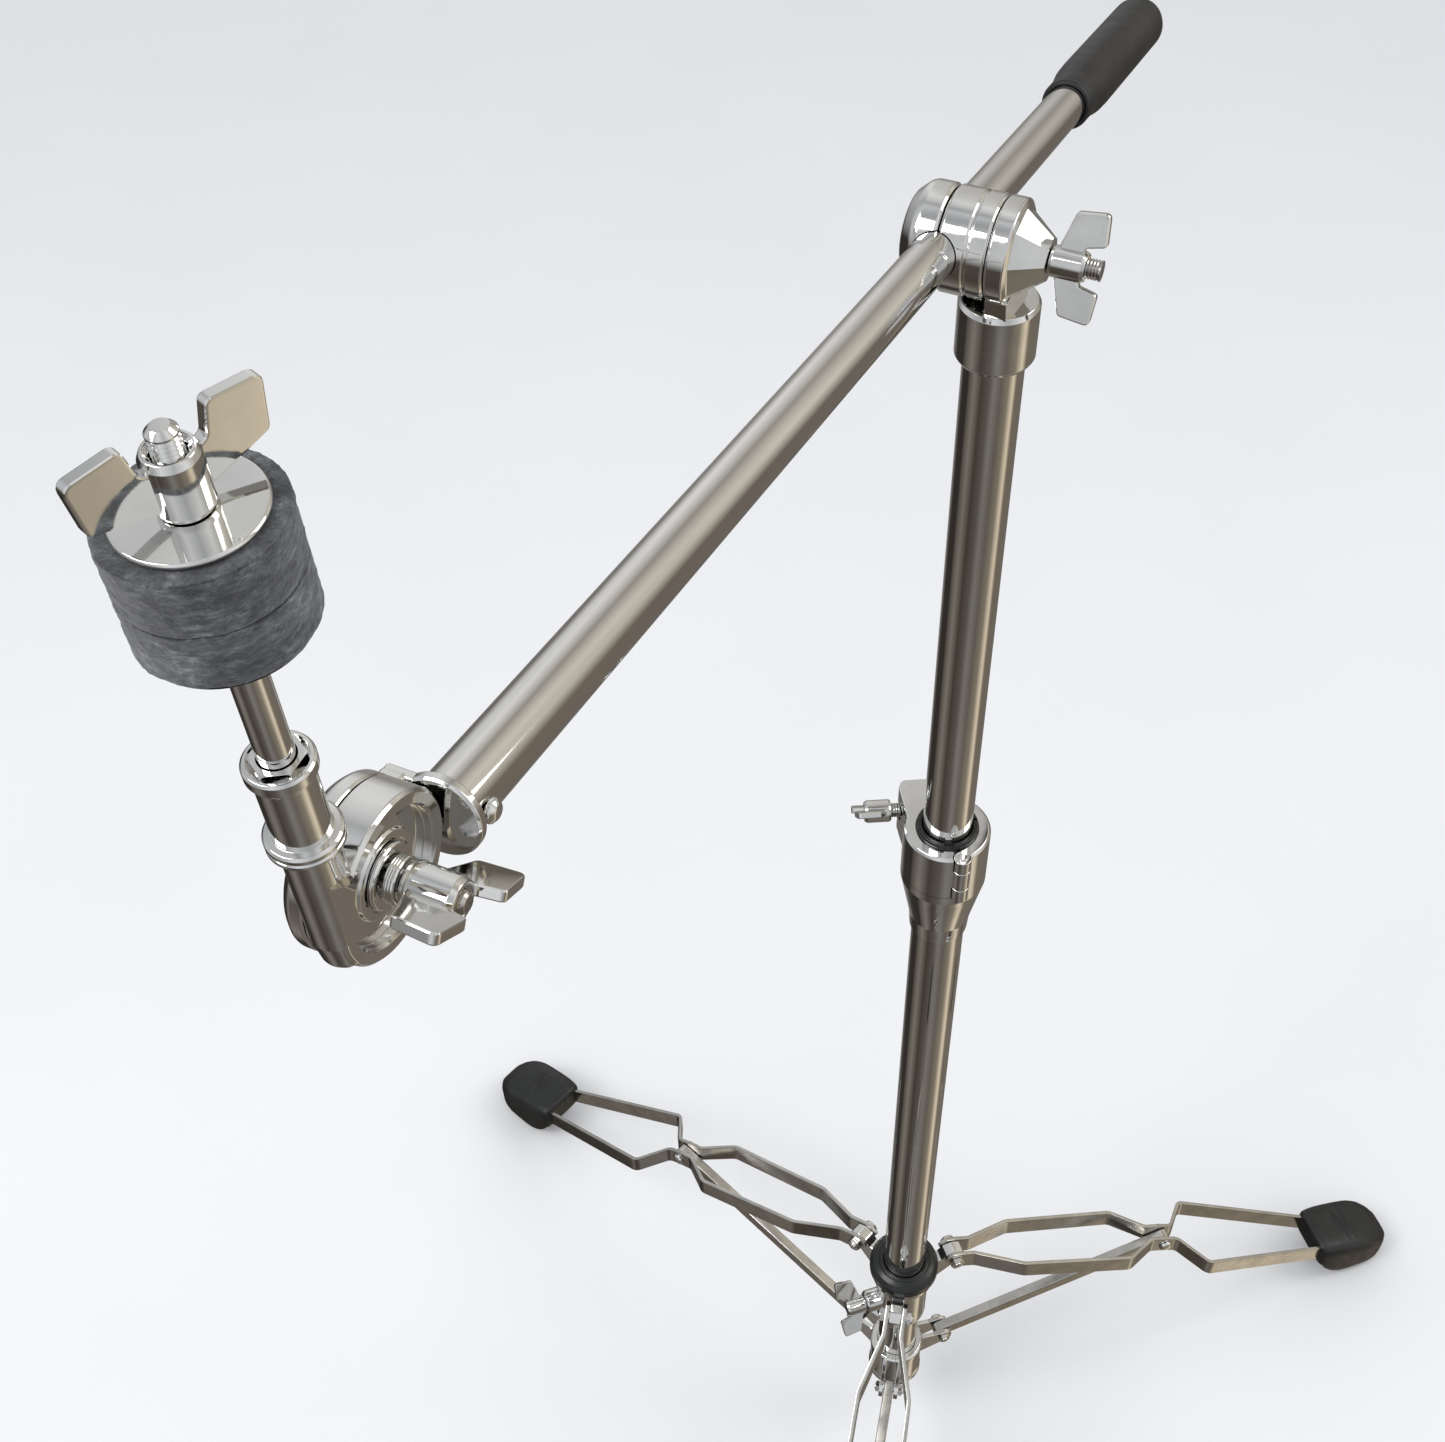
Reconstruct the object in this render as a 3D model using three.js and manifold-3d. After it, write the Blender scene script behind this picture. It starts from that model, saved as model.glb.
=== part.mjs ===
// Cymbal boom stand: double-braced tripod, telescopic column, tilting boom and cymbal tilter.
// Millimetres, +Z up. The origin is the centre of the column's lower end face, on the column axis.
// Heights below are measured from the floor; one group at the end lowers everything to the origin.
import * as THREE from 'three';
import { mergeVertices } from 'three/addons/utils/BufferGeometryUtils.js';
import Module from 'manifold-3d';

const wasm = await Module();
wasm.setup();

// ---------- driving dimensions ----------
const DEG = Math.PI / 180;
const GAP = 0.3;                      // running gap between neighbouring solids
const ROUND = 24;                     // facets round a tube
const SMALL_ROUND = 12;               // facets round a bolt or a pin

const COLUMN_BASE = 58;               // height of the column's end face above the floor
const LOWER_TUBE = { radius: 14.3, wall: 1.2, bottom: 64, top: 694 };
const UPPER_TUBE = { radius: 12.7, wall: 1.2, bottom: 520, top: 1043 };
const BOOM_TUBE = { radius: 9, wall: 1.3 };

const LEG_AZIMUTHS = { front: -90, right: 30, left: 150 };
const LEG_PIVOT = { r: 37.3, z: 224.4 };
const LEG_WAIST = { r: 216.1, z: 133.2 };
const LEG_TIP = { r: 388, z: 24 };
const BRACE_PIN = { r: 35.9, z: 99.5 };
const STRIP = { thickness: 3, height: 15.5 };
const FOOT_WIDTH = 46;
const PIVOT_HALF_GAP = 4.5;           // inner face of each strip at the collar
const WAIST_HALF_GAP = 4;             // inner face of each strip at the waist
const BRACE = { width: 7, height: 11.5, wall: 1.5 };

const LEG_COLLAR = { bore: 14.7, radius: 18.2, bottom: 166, top: 226, screwZ: 188, screwAzimuth: 210 };
const CLAMP = { bore: 16.4, radius: 22.5, bottom: 640, split: 690.5, top: 722, screwZ: 707 };
const CLAMP_HINGE_AZIMUTH = -61;
const CLAMP_EAR_AZIMUTH = 105;
const CLAMP_SCREW_R = 25;

const HUB_Z = 1069.8;                 // boom hub axis above the floor
const HUB_RADIUS = 20.5;
const BOOM_AZIMUTH = 77.9;            // direction of the boom's counterweight end
const BOOM_PITCH = 10.8;              // the tilter end stands this many degrees higher
const BOOM_OFFSET = 22;               // boom axis to column axis
const BOOM_END = { tilter: -376, grip: 286 };
const GRIP = { start: 162, end: 300, radius: 13 };
const SOCKET = { radius: 16.3, bottom: 1021, top: 1048.5 };

const TILTER_S = -402;                // tilter axis along the boom from the hub axis
const TILTER_RADIUS = 21.5;
const TILTER_LEAN = 2.5;              // the cymbal rod leans this many degrees away from the column
const RATCHET = { near: 20, seam: 30.75, far: 38.8 };
const ROD_AT = { x: -16.5, y: 25.3 }; // cymbal rod axis in front of the tilter axis
const ROD = { radius: 4, thread: 3, bottom: 20, shoulder: 99.3, top: 147.4 };
const BARREL = { radius: 6.6, bottom: -12, top: 60.3 };
const FELT = { radius: 17.8, bore: 5.6, height: 12.8 };

// ---------- materials ----------
const material = (color, roughness, metalness) =>
  new THREE.MeshStandardMaterial({ color, roughness, metalness });
const CHROME = () => material(0xb9b7b1, 0.12, 1);
const DARK_CHROME = () => material(0x8f8b84, 0.18, 1);
const BLACK_PLASTIC = () => material(0x16171a, 0.5, 0);
const RUBBER = () => material(0x141416, 0.75, 0);
const FELT_CLOTH = () => material(0x3a3b3f, 0.95, 0);

// ---------- solids ----------
function solid(geometry) {
  const bare = geometry.index ? geometry.toNonIndexed() : geometry.clone();
  bare.deleteAttribute('normal');
  bare.deleteAttribute('uv');
  const merged = mergeVertices(bare, 1e-4);
  const position = merged.attributes.position;
  const corners = [];
  let volume = 0;
  const a = new THREE.Vector3();
  const b = new THREE.Vector3();
  const c = new THREE.Vector3();
  for (let i = 0; i < merged.index.count; i += 3) {
    const [p, q, r] = [0, 1, 2].map((k) => merged.index.getX(i + k));
    if (p === q || q === r || r === p) continue;
    a.fromBufferAttribute(position, p);
    b.fromBufferAttribute(position, q);
    c.fromBufferAttribute(position, r);
    volume += a.dot(b.cross(c));
    corners.push(p, q, r);
  }
  if (volume < 0) corners.reverse();
  return new wasm.Manifold(new wasm.Mesh({
    numProp: 3,
    vertProperties: Float32Array.from(position.array),
    triVerts: Uint32Array.from(corners),
  }));
}

function geometryOf(manifold) {
  const mesh = manifold.getMesh();
  const geometry = new THREE.BufferGeometry();
  geometry.setAttribute('position', new THREE.BufferAttribute(mesh.vertProperties, 3));
  geometry.setIndex(new THREE.BufferAttribute(mesh.triVerts, 1));
  geometry.computeVertexNormals();
  return geometry;
}

const join = (...parts) => parts.reduce((whole, part) => whole.add(part));
const cut = (body, ...tools) => tools.reduce((rest, tool) => rest.subtract(tool), body);

// A turned piece about Z from [radius, z] points.
function turned(points, facets = ROUND) {
  const profile = points.map(([radius, z]) => new THREE.Vector2(radius, z));
  return new THREE.LatheGeometry(profile, facets).rotateX(Math.PI / 2);
}

const rod = (radius, bottom, top, facets = SMALL_ROUND) =>
  turned([[0, bottom], [radius, bottom], [radius, top], [0, top]], facets);

function ring(inner, outer, bottom, top, chamfer = 0, facets = ROUND) {
  const points = [[inner, bottom], [outer - chamfer, bottom]];
  if (chamfer > 0) points.push([outer, bottom + chamfer], [outer, top - chamfer]);
  points.push([outer - chamfer, top], [inner, top], [inner, bottom]);
  return turned(points, facets);
}

// Axis turned from Z onto a side: the piece then runs along +X or +Y.
const alongX = (geometry) => geometry.rotateY(Math.PI / 2);
const alongY = (geometry) => geometry.rotateX(-Math.PI / 2);

function box(xLow, xHigh, yLow, yHigh, zLow, zHigh) {
  return new THREE.BoxGeometry(xHigh - xLow, yHigh - yLow, zHigh - zLow)
    .translate((xLow + xHigh) / 2, (yLow + yHigh) / 2, (zLow + zHigh) / 2);
}

// A plate whose outline lies in the XZ plane and whose thickness runs from yLow to yHigh.
function sidePlate(outline, yLow, yHigh) {
  const shape = new THREE.Shape(outline.map(([x, z]) => new THREE.Vector2(x, z)));
  return new THREE.ExtrudeGeometry(shape, { depth: yHigh - yLow, bevelEnabled: false })
    .rotateX(Math.PI / 2)
    .translate(0, yHigh, 0);
}

// ---------- scene graph helpers ----------
const stand = new THREE.Group();

function group(parent, { x = 0, y = 0, z = 0, azimuth = 0 } = {}) {
  const child = new THREE.Group();
  child.position.set(x, y, z);
  child.rotation.z = azimuth * DEG;
  parent.add(child);
  return child;
}

function addPart(parent, name, shape, look) {
  const geometry = shape.isBufferGeometry ? geometryOf(solid(shape)) : geometryOf(shape);
  const mesh = new THREE.Mesh(geometry, look);
  mesh.name = name;
  parent.add(mesh);
  return mesh;
}

// ---------- wing nuts and wing screws ----------
const WING = { hubRadius: 6, hubLength: 14, reach: 21.5, thickness: 3.2, rootLow: 2, tipLow: 6.5, high: 20 };
const SMALL_WING = { hubRadius: 5.6, hubLength: 12.6, reach: 19.3, thickness: 3, rootLow: 1.5, tipLow: 6.4, high: 18.6 };

// A winged head standing along +Z from z = 0, its wings along +X and -X.
function wingHead(bore, size = WING) {
  const { hubRadius, hubLength, reach, thickness, rootLow, tipLow, high } = size;
  const outline = [
    [hubRadius - 1.5, rootLow], [reach - 1.5, tipLow], [reach, high - 1],
    [hubRadius + 3, high], [hubRadius + 1.5, hubLength - 1], [hubRadius - 1.5, hubLength - 3],
  ];
  const wings = [1, -1].map((side) => {
    const points = outline.map(([x, z]) => [side * x, z]);
    return solid(sidePlate(side > 0 ? points : points.reverse(), -thickness / 2, thickness / 2));
  });
  const hub = solid(rod(hubRadius, 0, hubLength));
  const head = join(hub, ...wings);
  return bore > 0 ? cut(head, solid(rod(bore, -1, hubLength + 1))) : head;
}

// ---------- column ----------
function addColumn() {
  const { radius, wall, bottom, top } = LOWER_TUBE;
  addPart(stand, 'lower_tube', ring(radius - wall, radius, bottom, top), DARK_CHROME());
  const plug = radius - wall - GAP;
  addPart(stand, 'column_end_cap', turned([
    [0, COLUMN_BASE], [radius - 1, COLUMN_BASE], [radius, COLUMN_BASE + 1], [radius, bottom - GAP],
    [plug, bottom - GAP], [plug, bottom + 14], [0, bottom + 14],
  ]), BLACK_PLASTIC());
}

function inLegPlane(geometry, azimuth) {
  return solid(geometry.rotateZ(azimuth * DEG));
}

function addBraceCollar() {
  const { r, z } = BRACE_PIN;
  const earInner = BRACE.width / 2 + 0.5;
  const earOuter = earInner + 3;
  const earEnd = 6.5;
  let collar = solid(ring(LOWER_TUBE.radius - 1, 19.5, 66, 110, 1.2));
  for (const azimuth of Object.values(LEG_AZIMUTHS)) {
    for (const side of [1, -1]) {
      const [low, high] = side > 0 ? [earInner, earOuter] : [-earOuter, -earInner];
      const outline = [[15, z - 14], [r, z - earEnd], [r, z + earEnd], [15, z + 9]];
      collar = join(
        collar,
        inLegPlane(sidePlate(outline, low, high), azimuth),
        inLegPlane(alongY(rod(earEnd, low, high)).translate(r, 0, z), azimuth),
      );
    }
    collar = cut(collar, inLegPlane(alongY(rod(2.9, -12, 12)).translate(r, 0, z), azimuth));
  }
  collar = cut(collar, solid(rod(LOWER_TUBE.radius + GAP, 60, 120, ROUND)));
  addPart(stand, 'brace_collar', collar, CHROME());
}

// ---------- leg collar ----------
function addLegCollar() {
  const { bore, radius, bottom, top, screwZ, screwAzimuth } = LEG_COLLAR;
  const { r, z } = LEG_PIVOT;
  const half = PIVOT_HALF_GAP - 0.3;
  const lug = [
    [15, top - 26], [radius + 4, top - 24], [r + 1, z - 7.5], [r, z + 7.5], [r - 6, z + 6], [r - 10, top], [15, top],
  ];
  let collar = solid(turned([
    [bore - 1, bottom], [radius - 1, bottom], [radius, bottom + 1], [radius, top - 14],
    [radius + 3.5, top - 9], [radius + 3.5, top], [bore - 1, top], [bore - 1, bottom],
  ]));
  for (const azimuth of Object.values(LEG_AZIMUTHS)) {
    collar = join(
      collar,
      inLegPlane(sidePlate(lug, -half, half), azimuth),
      inLegPlane(alongY(rod(7.5, -half, half)).translate(r, 0, z), azimuth),
    );
    collar = cut(collar, inLegPlane(alongY(rod(3.35, -12, 12)).translate(r, 0, z), azimuth));
  }
  const boss = alongX(rod(8, 12, 28)).translate(0, 0, screwZ);
  collar = join(collar, inLegPlane(boss, screwAzimuth));
  const screwHole = alongX(rod(3.35, 10, 32)).translate(0, 0, screwZ);
  collar = cut(collar, solid(rod(bore, bottom - 5, top + 5, ROUND)), inLegPlane(screwHole, screwAzimuth));
  addPart(stand, 'leg_collar', collar, CHROME());
  addPart(stand, 'leg_collar_bushing', ring(bore, 24, top + GAP, top + 12.5, 2.5), BLACK_PLASTIC());

  const screw = group(stand, { z: screwZ, azimuth: screwAzimuth });
  const tip = LOWER_TUBE.radius + GAP;
  const seat = 28 + GAP;
  const stem = solid(rod(3, tip, seat + 3));
  const head = solid(geometryOf(wingHead(0)).rotateZ(35 * DEG).translate(0, 0, seat));
  const body = geometryOf(join(stem, head)).rotateY(Math.PI / 2);
  addPart(screw, 'tripod_wing_screw', body, CHROME());
}

// ---------- legs ----------
const legHeight = (r) => {
  const [a, b] = r < LEG_WAIST.r ? [LEG_PIVOT, LEG_WAIST] : [LEG_WAIST, LEG_TIP];
  return a.z + (b.z - a.z) * (r - a.r) / (b.r - a.r);
};

// Half of a leg's plan: distance of the strip's middle from the leg's mid-plane.
function stripPlan() {
  const pivot = PIVOT_HALF_GAP + STRIP.thickness / 2;
  const waist = WAIST_HALF_GAP + STRIP.thickness / 2;
  return [
    [LEG_PIVOT.r - 8, pivot], [LEG_PIVOT.r + 15, pivot], [88, 17.5], [178, 19.5],
    [LEG_WAIST.r - 13, waist], [LEG_WAIST.r + 11, waist], [246, 26.5], [368, 14], [LEG_TIP.r, 14],
  ];
}

// The strip's middle line with each bend rounded.
function bentLine(points, bend, steps) {
  const line = [new THREE.Vector2(...points[0])];
  for (let i = 1; i < points.length - 1; i += 1) {
    const [before, corner, after] = [points[i - 1], points[i], points[i + 1]].map((p) => new THREE.Vector2(...p));
    const start = corner.clone().lerp(before, bend / corner.distanceTo(before));
    const end = corner.clone().lerp(after, bend / corner.distanceTo(after));
    line.push(...new THREE.QuadraticBezierCurve(start, corner, end).getPoints(steps));
  }
  line.push(new THREE.Vector2(...points[points.length - 1]));
  return line;
}

// A bar standing on edge that follows the plan and slopes down with the leg.
function stripSolid(side, extra = 0) {
  const plan = stripPlan().map(([r, w]) => [r, side * w]);
  if (extra > 0) plan[plan.length - 1][0] += extra;
  const line = bentLine(plan, 4, 2);
  const half = STRIP.thickness / 2 + extra;
  const left = [];
  const right = [];
  line.forEach((point, i) => {
    const from = line[Math.max(i - 1, 0)];
    const to = line[Math.min(i + 1, line.length - 1)];
    const normal = to.clone().sub(from).normalize();
    left.push(new THREE.Vector2(point.x - normal.y * half, point.y + normal.x * half));
    right.push(new THREE.Vector2(point.x + normal.y * half, point.y - normal.x * half));
  });
  const outline = new THREE.Shape([...left, ...right.reverse()]);
  const height = STRIP.height / Math.cos(29 * DEG) + 2 * extra;
  const bar = new THREE.ExtrudeGeometry(outline, { depth: height, bevelEnabled: false });
  const position = bar.attributes.position;
  for (let i = 0; i < position.count; i += 1) {
    position.setZ(i, position.getZ(i) - height / 2 + legHeight(position.getX(i)));
  }
  return solid(bar);
}

function boltSolid(radius, halfGrip, headRadius, headLength) {
  const reach = halfGrip + headLength;
  const shank = solid(alongY(rod(radius, -reach, reach)));
  const head = solid(alongY(rod(headRadius, halfGrip, reach, 6)));
  const nut = solid(alongY(rod(headRadius, -reach, -halfGrip, 6)));
  return join(shank, head, nut);
}

function footSolid() {
  const side = [
    [374, 47], [388, 46], [414, 38], [431, 24], [437, 11], [433, 2], [428, 0], [388, 0], [381, 4], [368, 22],
  ];
  const block = solid(sidePlate(side, -FOOT_WIDTH / 2, FOOT_WIDTH / 2));
  return cut(block, stripSolid(1, GAP), stripSolid(-1, GAP));
}

function addLeg(name, azimuth) {
  const leg = group(stand, { azimuth });
  const inner = PIVOT_HALF_GAP;
  const strips = { left: 1, right: -1 };
  for (const [label, side] of Object.entries(strips)) {
    const strip = cut(
      stripSolid(side),
      solid(alongY(rod(3.35, -40, 40)).translate(LEG_PIVOT.r, 0, LEG_PIVOT.z)),
      solid(alongY(rod(3.35, -10, 10)).translate(LEG_WAIST.r, 0, LEG_WAIST.z)),
    );
    addPart(leg, `${name}_strip_${label}`, strip, DARK_CHROME());
    const low = WAIST_HALF_GAP;
    const head = low + STRIP.thickness + GAP;
    const rivet = turned([
      [0, low], [3, low], [3, head], [5, head], [4.4, head + 1.6], [2.5, head + 2.6], [0, head + 2.6],
    ], SMALL_ROUND);
    rivet.rotateX(side > 0 ? -Math.PI / 2 : Math.PI / 2).translate(LEG_WAIST.r, 0, LEG_WAIST.z);
    addPart(leg, `${name}_waist_rivet_${label}`, rivet, CHROME());
  }
  const bolt = boltSolid(3, inner + STRIP.thickness + GAP, 5, 3.2);
  const boltMesh = addPart(leg, `${name}_pivot_bolt`, bolt, CHROME());
  boltMesh.position.set(LEG_PIVOT.r, 0, LEG_PIVOT.z);
  addPart(leg, `${name}_foot`, footSolid(), RUBBER());
}

// ---------- braces ----------
function addBrace(name, azimuth) {
  const holder = group(stand, { azimuth });
  const { r, z } = BRACE_PIN;
  const dr = LEG_WAIST.r - r;
  const dz = LEG_WAIST.z - z;
  const length = Math.hypot(dr, dz);
  const half = BRACE.width / 2;
  const end = BRACE.height / 2;
  const bar = join(
    solid(box(0, length, -half, half, -end, end)),
    solid(alongY(rod(end, -half, half))),
    solid(alongY(rod(end, -half, half)).translate(length, 0, 0)),
  );
  const channel = box(9, length - 9, -half + BRACE.wall, half - BRACE.wall, -end - 1, end - BRACE.wall);
  const brace = cut(bar, solid(channel), solid(alongY(rod(2.9, -10, 10))));
  const mesh = addPart(holder, `${name}_brace`, brace, DARK_CHROME());
  mesh.position.set(r, 0, z);
  mesh.rotation.y = -Math.atan2(dz, dr);
  const pin = addPart(holder, `${name}_brace_pin`, boltSolid(2.5, half + 3.5 + GAP, 4.2, 2.6), CHROME());
  pin.position.set(r, 0, z);
}

// ---------- height clamp ----------
function clampRing(bottom, top) {
  return ring(CLAMP.bore - 1, CLAMP.radius, bottom, top, 1.2);
}

// A wedge about Z from one azimuth to another, wide enough to split the clamp.
function wedge(from, to) {
  const outline = [new THREE.Vector2(0, 0)];
  const steps = Math.ceil((to - from) / 20);
  for (let i = 0; i <= steps; i += 1) {
    const angle = (from + (to - from) * i / steps) * DEG;
    outline.push(new THREE.Vector2(60 * Math.cos(angle), 60 * Math.sin(angle)));
  }
  return new THREE.ExtrudeGeometry(new THREE.Shape(outline), { depth: 60, bevelEnabled: false })
    .translate(0, 0, CLAMP.split);
}

function polar(radius, azimuth) {
  return [radius * Math.cos(azimuth * DEG), radius * Math.sin(azimuth * DEG)];
}

function addHeightClamp() {
  const { bore, radius, bottom, split, top, screwZ } = CLAMP;
  const [hingeX, hingeY] = polar(21.5, CLAMP_HINGE_AZIMUTH);
  const knuckle = 4.6;
  const pinRadius = 2;
  const hole = solid(rod(bore, split - 0.01, top + 5, ROUND));
  const hingeHole = solid(rod(pinRadius + GAP, split - 5, top + 5).translate(hingeX, hingeY, 0));
  const atHinge = (low, high, extra = 0) => solid(rod(knuckle + extra, low, high).translate(hingeX, hingeY, 0));
  const earBlock = (yLow, yHigh, back) => solid(
    box(8, back, yLow, yHigh, split, top).rotateZ(CLAMP_EAR_AZIMUTH * DEG),
  );
  const earHole = (size) => solid(
    alongY(rod(size, -30, 40)).translate(CLAMP_SCREW_R, 0, screwZ).rotateZ(CLAMP_EAR_AZIMUTH * DEG),
  );
  const screwHole = earHole(4.4);
  const looseHole = earHole(5.4);
  const jawSide = solid(wedge(CLAMP_EAR_AZIMUTH + 2.5, CLAMP_HINGE_AZIMUTH + 360 - 2));
  const bodySide = solid(wedge(CLAMP_HINGE_AZIMUTH + 2, CLAMP_EAR_AZIMUTH - 2.5).translate(0, 0, -3));
  const middle = { low: split + 9, high: top - 9 };

  // The fixed half grows out of a tapered sleeve that grips the lower tube.
  const sleeve = solid(turned([
    [bore - 3, bottom], [15.7, bottom], [16.4, bottom + 12], [radius - 0.8, split - 10],
    [radius, split - 6], [radius, split - GAP], [bore - 3, split - GAP], [bore - 3, bottom],
  ]));
  const halfRing = solid(clampRing(split - 1, top)).intersect(bodySide);
  const lowKnuckle = atHinge(split - 1, middle.low - GAP);
  const highKnuckle = atHinge(middle.high + GAP, top);
  let body = join(sleeve, halfRing, earBlock(-9, -0.8, 33), lowKnuckle, highKnuckle);
  body = cut(body, atHinge(middle.low - GAP, middle.high + GAP, 0.5), hole, hingeHole, screwHole);
  body = cut(body, solid(rod(LOWER_TUBE.radius + GAP, bottom - 5, split + 5, ROUND)));
  addPart(stand, 'height_clamp', body, CHROME());

  let jaw = join(
    solid(clampRing(split, top)).intersect(jawSide),
    earBlock(0.8, 22, 33),
    atHinge(middle.low, middle.high),
  );
  jaw = cut(jaw, hole, hingeHole, looseHole);
  jaw = cut(jaw, atHinge(split - 1, middle.low, 0.5), atHinge(middle.high, top + 1, 0.5));
  addPart(stand, 'clamp_jaw', jaw, CHROME());
  addPart(stand, 'clamp_hinge_pin', rod(pinRadius, split - 3, top + 0.6).translate(hingeX, hingeY, 0), CHROME());

  const slot = solid(box(0, 30, -0.6, 0.6, split, top + 10).rotateZ(20 * DEG));
  const inner = UPPER_TUBE.radius + GAP;
  const bushing = cut(solid(ring(inner, bore - GAP, LOWER_TUBE.top + GAP, top + 3, 0.6)), slot);
  addPart(stand, 'height_bushing', bushing, BLACK_PLASTIC());

  const screwGroup = group(stand, { azimuth: CLAMP_EAR_AZIMUTH });
  const shank = solid(rod(3.9, -8, 30));
  const head = solid(geometryOf(wingHead(0)).rotateZ(45 * DEG).translate(0, 0, 26));
  const screw = geometryOf(join(shank, head)).rotateX(-Math.PI / 2).translate(CLAMP_SCREW_R, 0, screwZ);
  addPart(screwGroup, 'height_wing_screw', screw, CHROME());
}

// ---------- upper column ----------
function addUpperColumn(hub) {
  const { radius, wall, bottom, top } = UPPER_TUBE;
  addPart(stand, 'upper_tube', ring(radius - wall, radius, bottom, top), CHROME());
  addPart(stand, 'tube_glide', turned([
    [0, bottom - 6], [radius - 0.4, bottom - 6], [radius, bottom - 5], [radius, bottom - GAP],
    [radius - wall - GAP, bottom - GAP], [radius - wall - GAP, bottom + 12], [0, bottom + 12],
  ]), BLACK_PLASTIC());

  // The socket over the tube's top carries the fixed half of the boom ratchet and its faceted nose.
  const dropped = SOCKET.bottom - HUB_Z;
  const rise = SOCKET.top - HUB_Z;
  const disc = alongY(rod(HUB_RADIUS, -7, 2, ROUND));
  const nose = alongY(turned([[0, -18], [9, -18], [17.5, -6.5], [0, -6.5]], 8));
  const cup = turned([[0, dropped], [SOCKET.radius - 1, dropped], [SOCKET.radius, dropped + 1.5], [SOCKET.radius, rise],
    [0, rise]]);
  const neck = box(-11, 11, -7, 2, dropped + 10, 0);
  let socket = join(solid(disc), solid(nose), solid(cup), solid(neck));
  socket = cut(
    socket,
    solid(rod(radius + GAP, dropped - 1, top - HUB_Z + GAP, ROUND)),
    solid(alongY(rod(4.4, -30, 10))),
    solid(alongY(rod(HUB_RADIUS + 0.5, 2.001, 30, ROUND))),
  );
  addPart(hub, 'boom_socket', socket, CHROME());
}

// ---------- boom head ----------
function addBoomHead(boom) {
  const split = BOOM_OFFSET;
  const boreTool = solid(alongX(rod(BOOM_TUBE.radius + GAP, -60, 60, ROUND)).translate(0, BOOM_OFFSET, 0));
  const eyeRoom = solid(alongX(rod(13.2, -5, 5, ROUND)).translate(0, BOOM_OFFSET, 0));
  const shankRoom = solid(alongY(rod(4.4, 0, BOOM_OFFSET)));
  const middle = cut(solid(alongY(turned([
    [0, 2.3], [HUB_RADIUS, 2.3], [HUB_RADIUS, split - 1.3], [HUB_RADIUS - 1, split - 0.3], [0, split - 0.3],
  ]))), boreTool, eyeRoom, shankRoom);
  addPart(boom, 'boom_clamp_half', middle, CHROME());
  const cap = cut(solid(alongY(turned([
    [0, split + 0.3], [HUB_RADIUS - 1, split + 0.3], [HUB_RADIUS, split + 1.3], [HUB_RADIUS, split + 9],
    [HUB_RADIUS - 3, split + 13.5], [HUB_RADIUS - 6.5, split + 15.5], [0, split + 15.5],
  ]))), boreTool, eyeRoom);
  addPart(boom, 'boom_clamp_cap', cap, CHROME());
  const eye = cut(
    join(
      solid(alongX(rod(12.7, -4.2, 4.2, ROUND)).translate(0, BOOM_OFFSET, 0)),
      solid(alongY(rod(4, -38, BOOM_OFFSET - 10))),
    ),
    boreTool,
  );
  addPart(boom, 'boom_eye_bolt', eye, DARK_CHROME());
}

function addBoomWing(hub) {
  const nut = geometryOf(wingHead(4.3)).rotateZ(71 * DEG).rotateX(Math.PI / 2).translate(0, -18 - GAP, 0);
  addPart(hub, 'boom_wing_nut', nut, CHROME());
}

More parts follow.
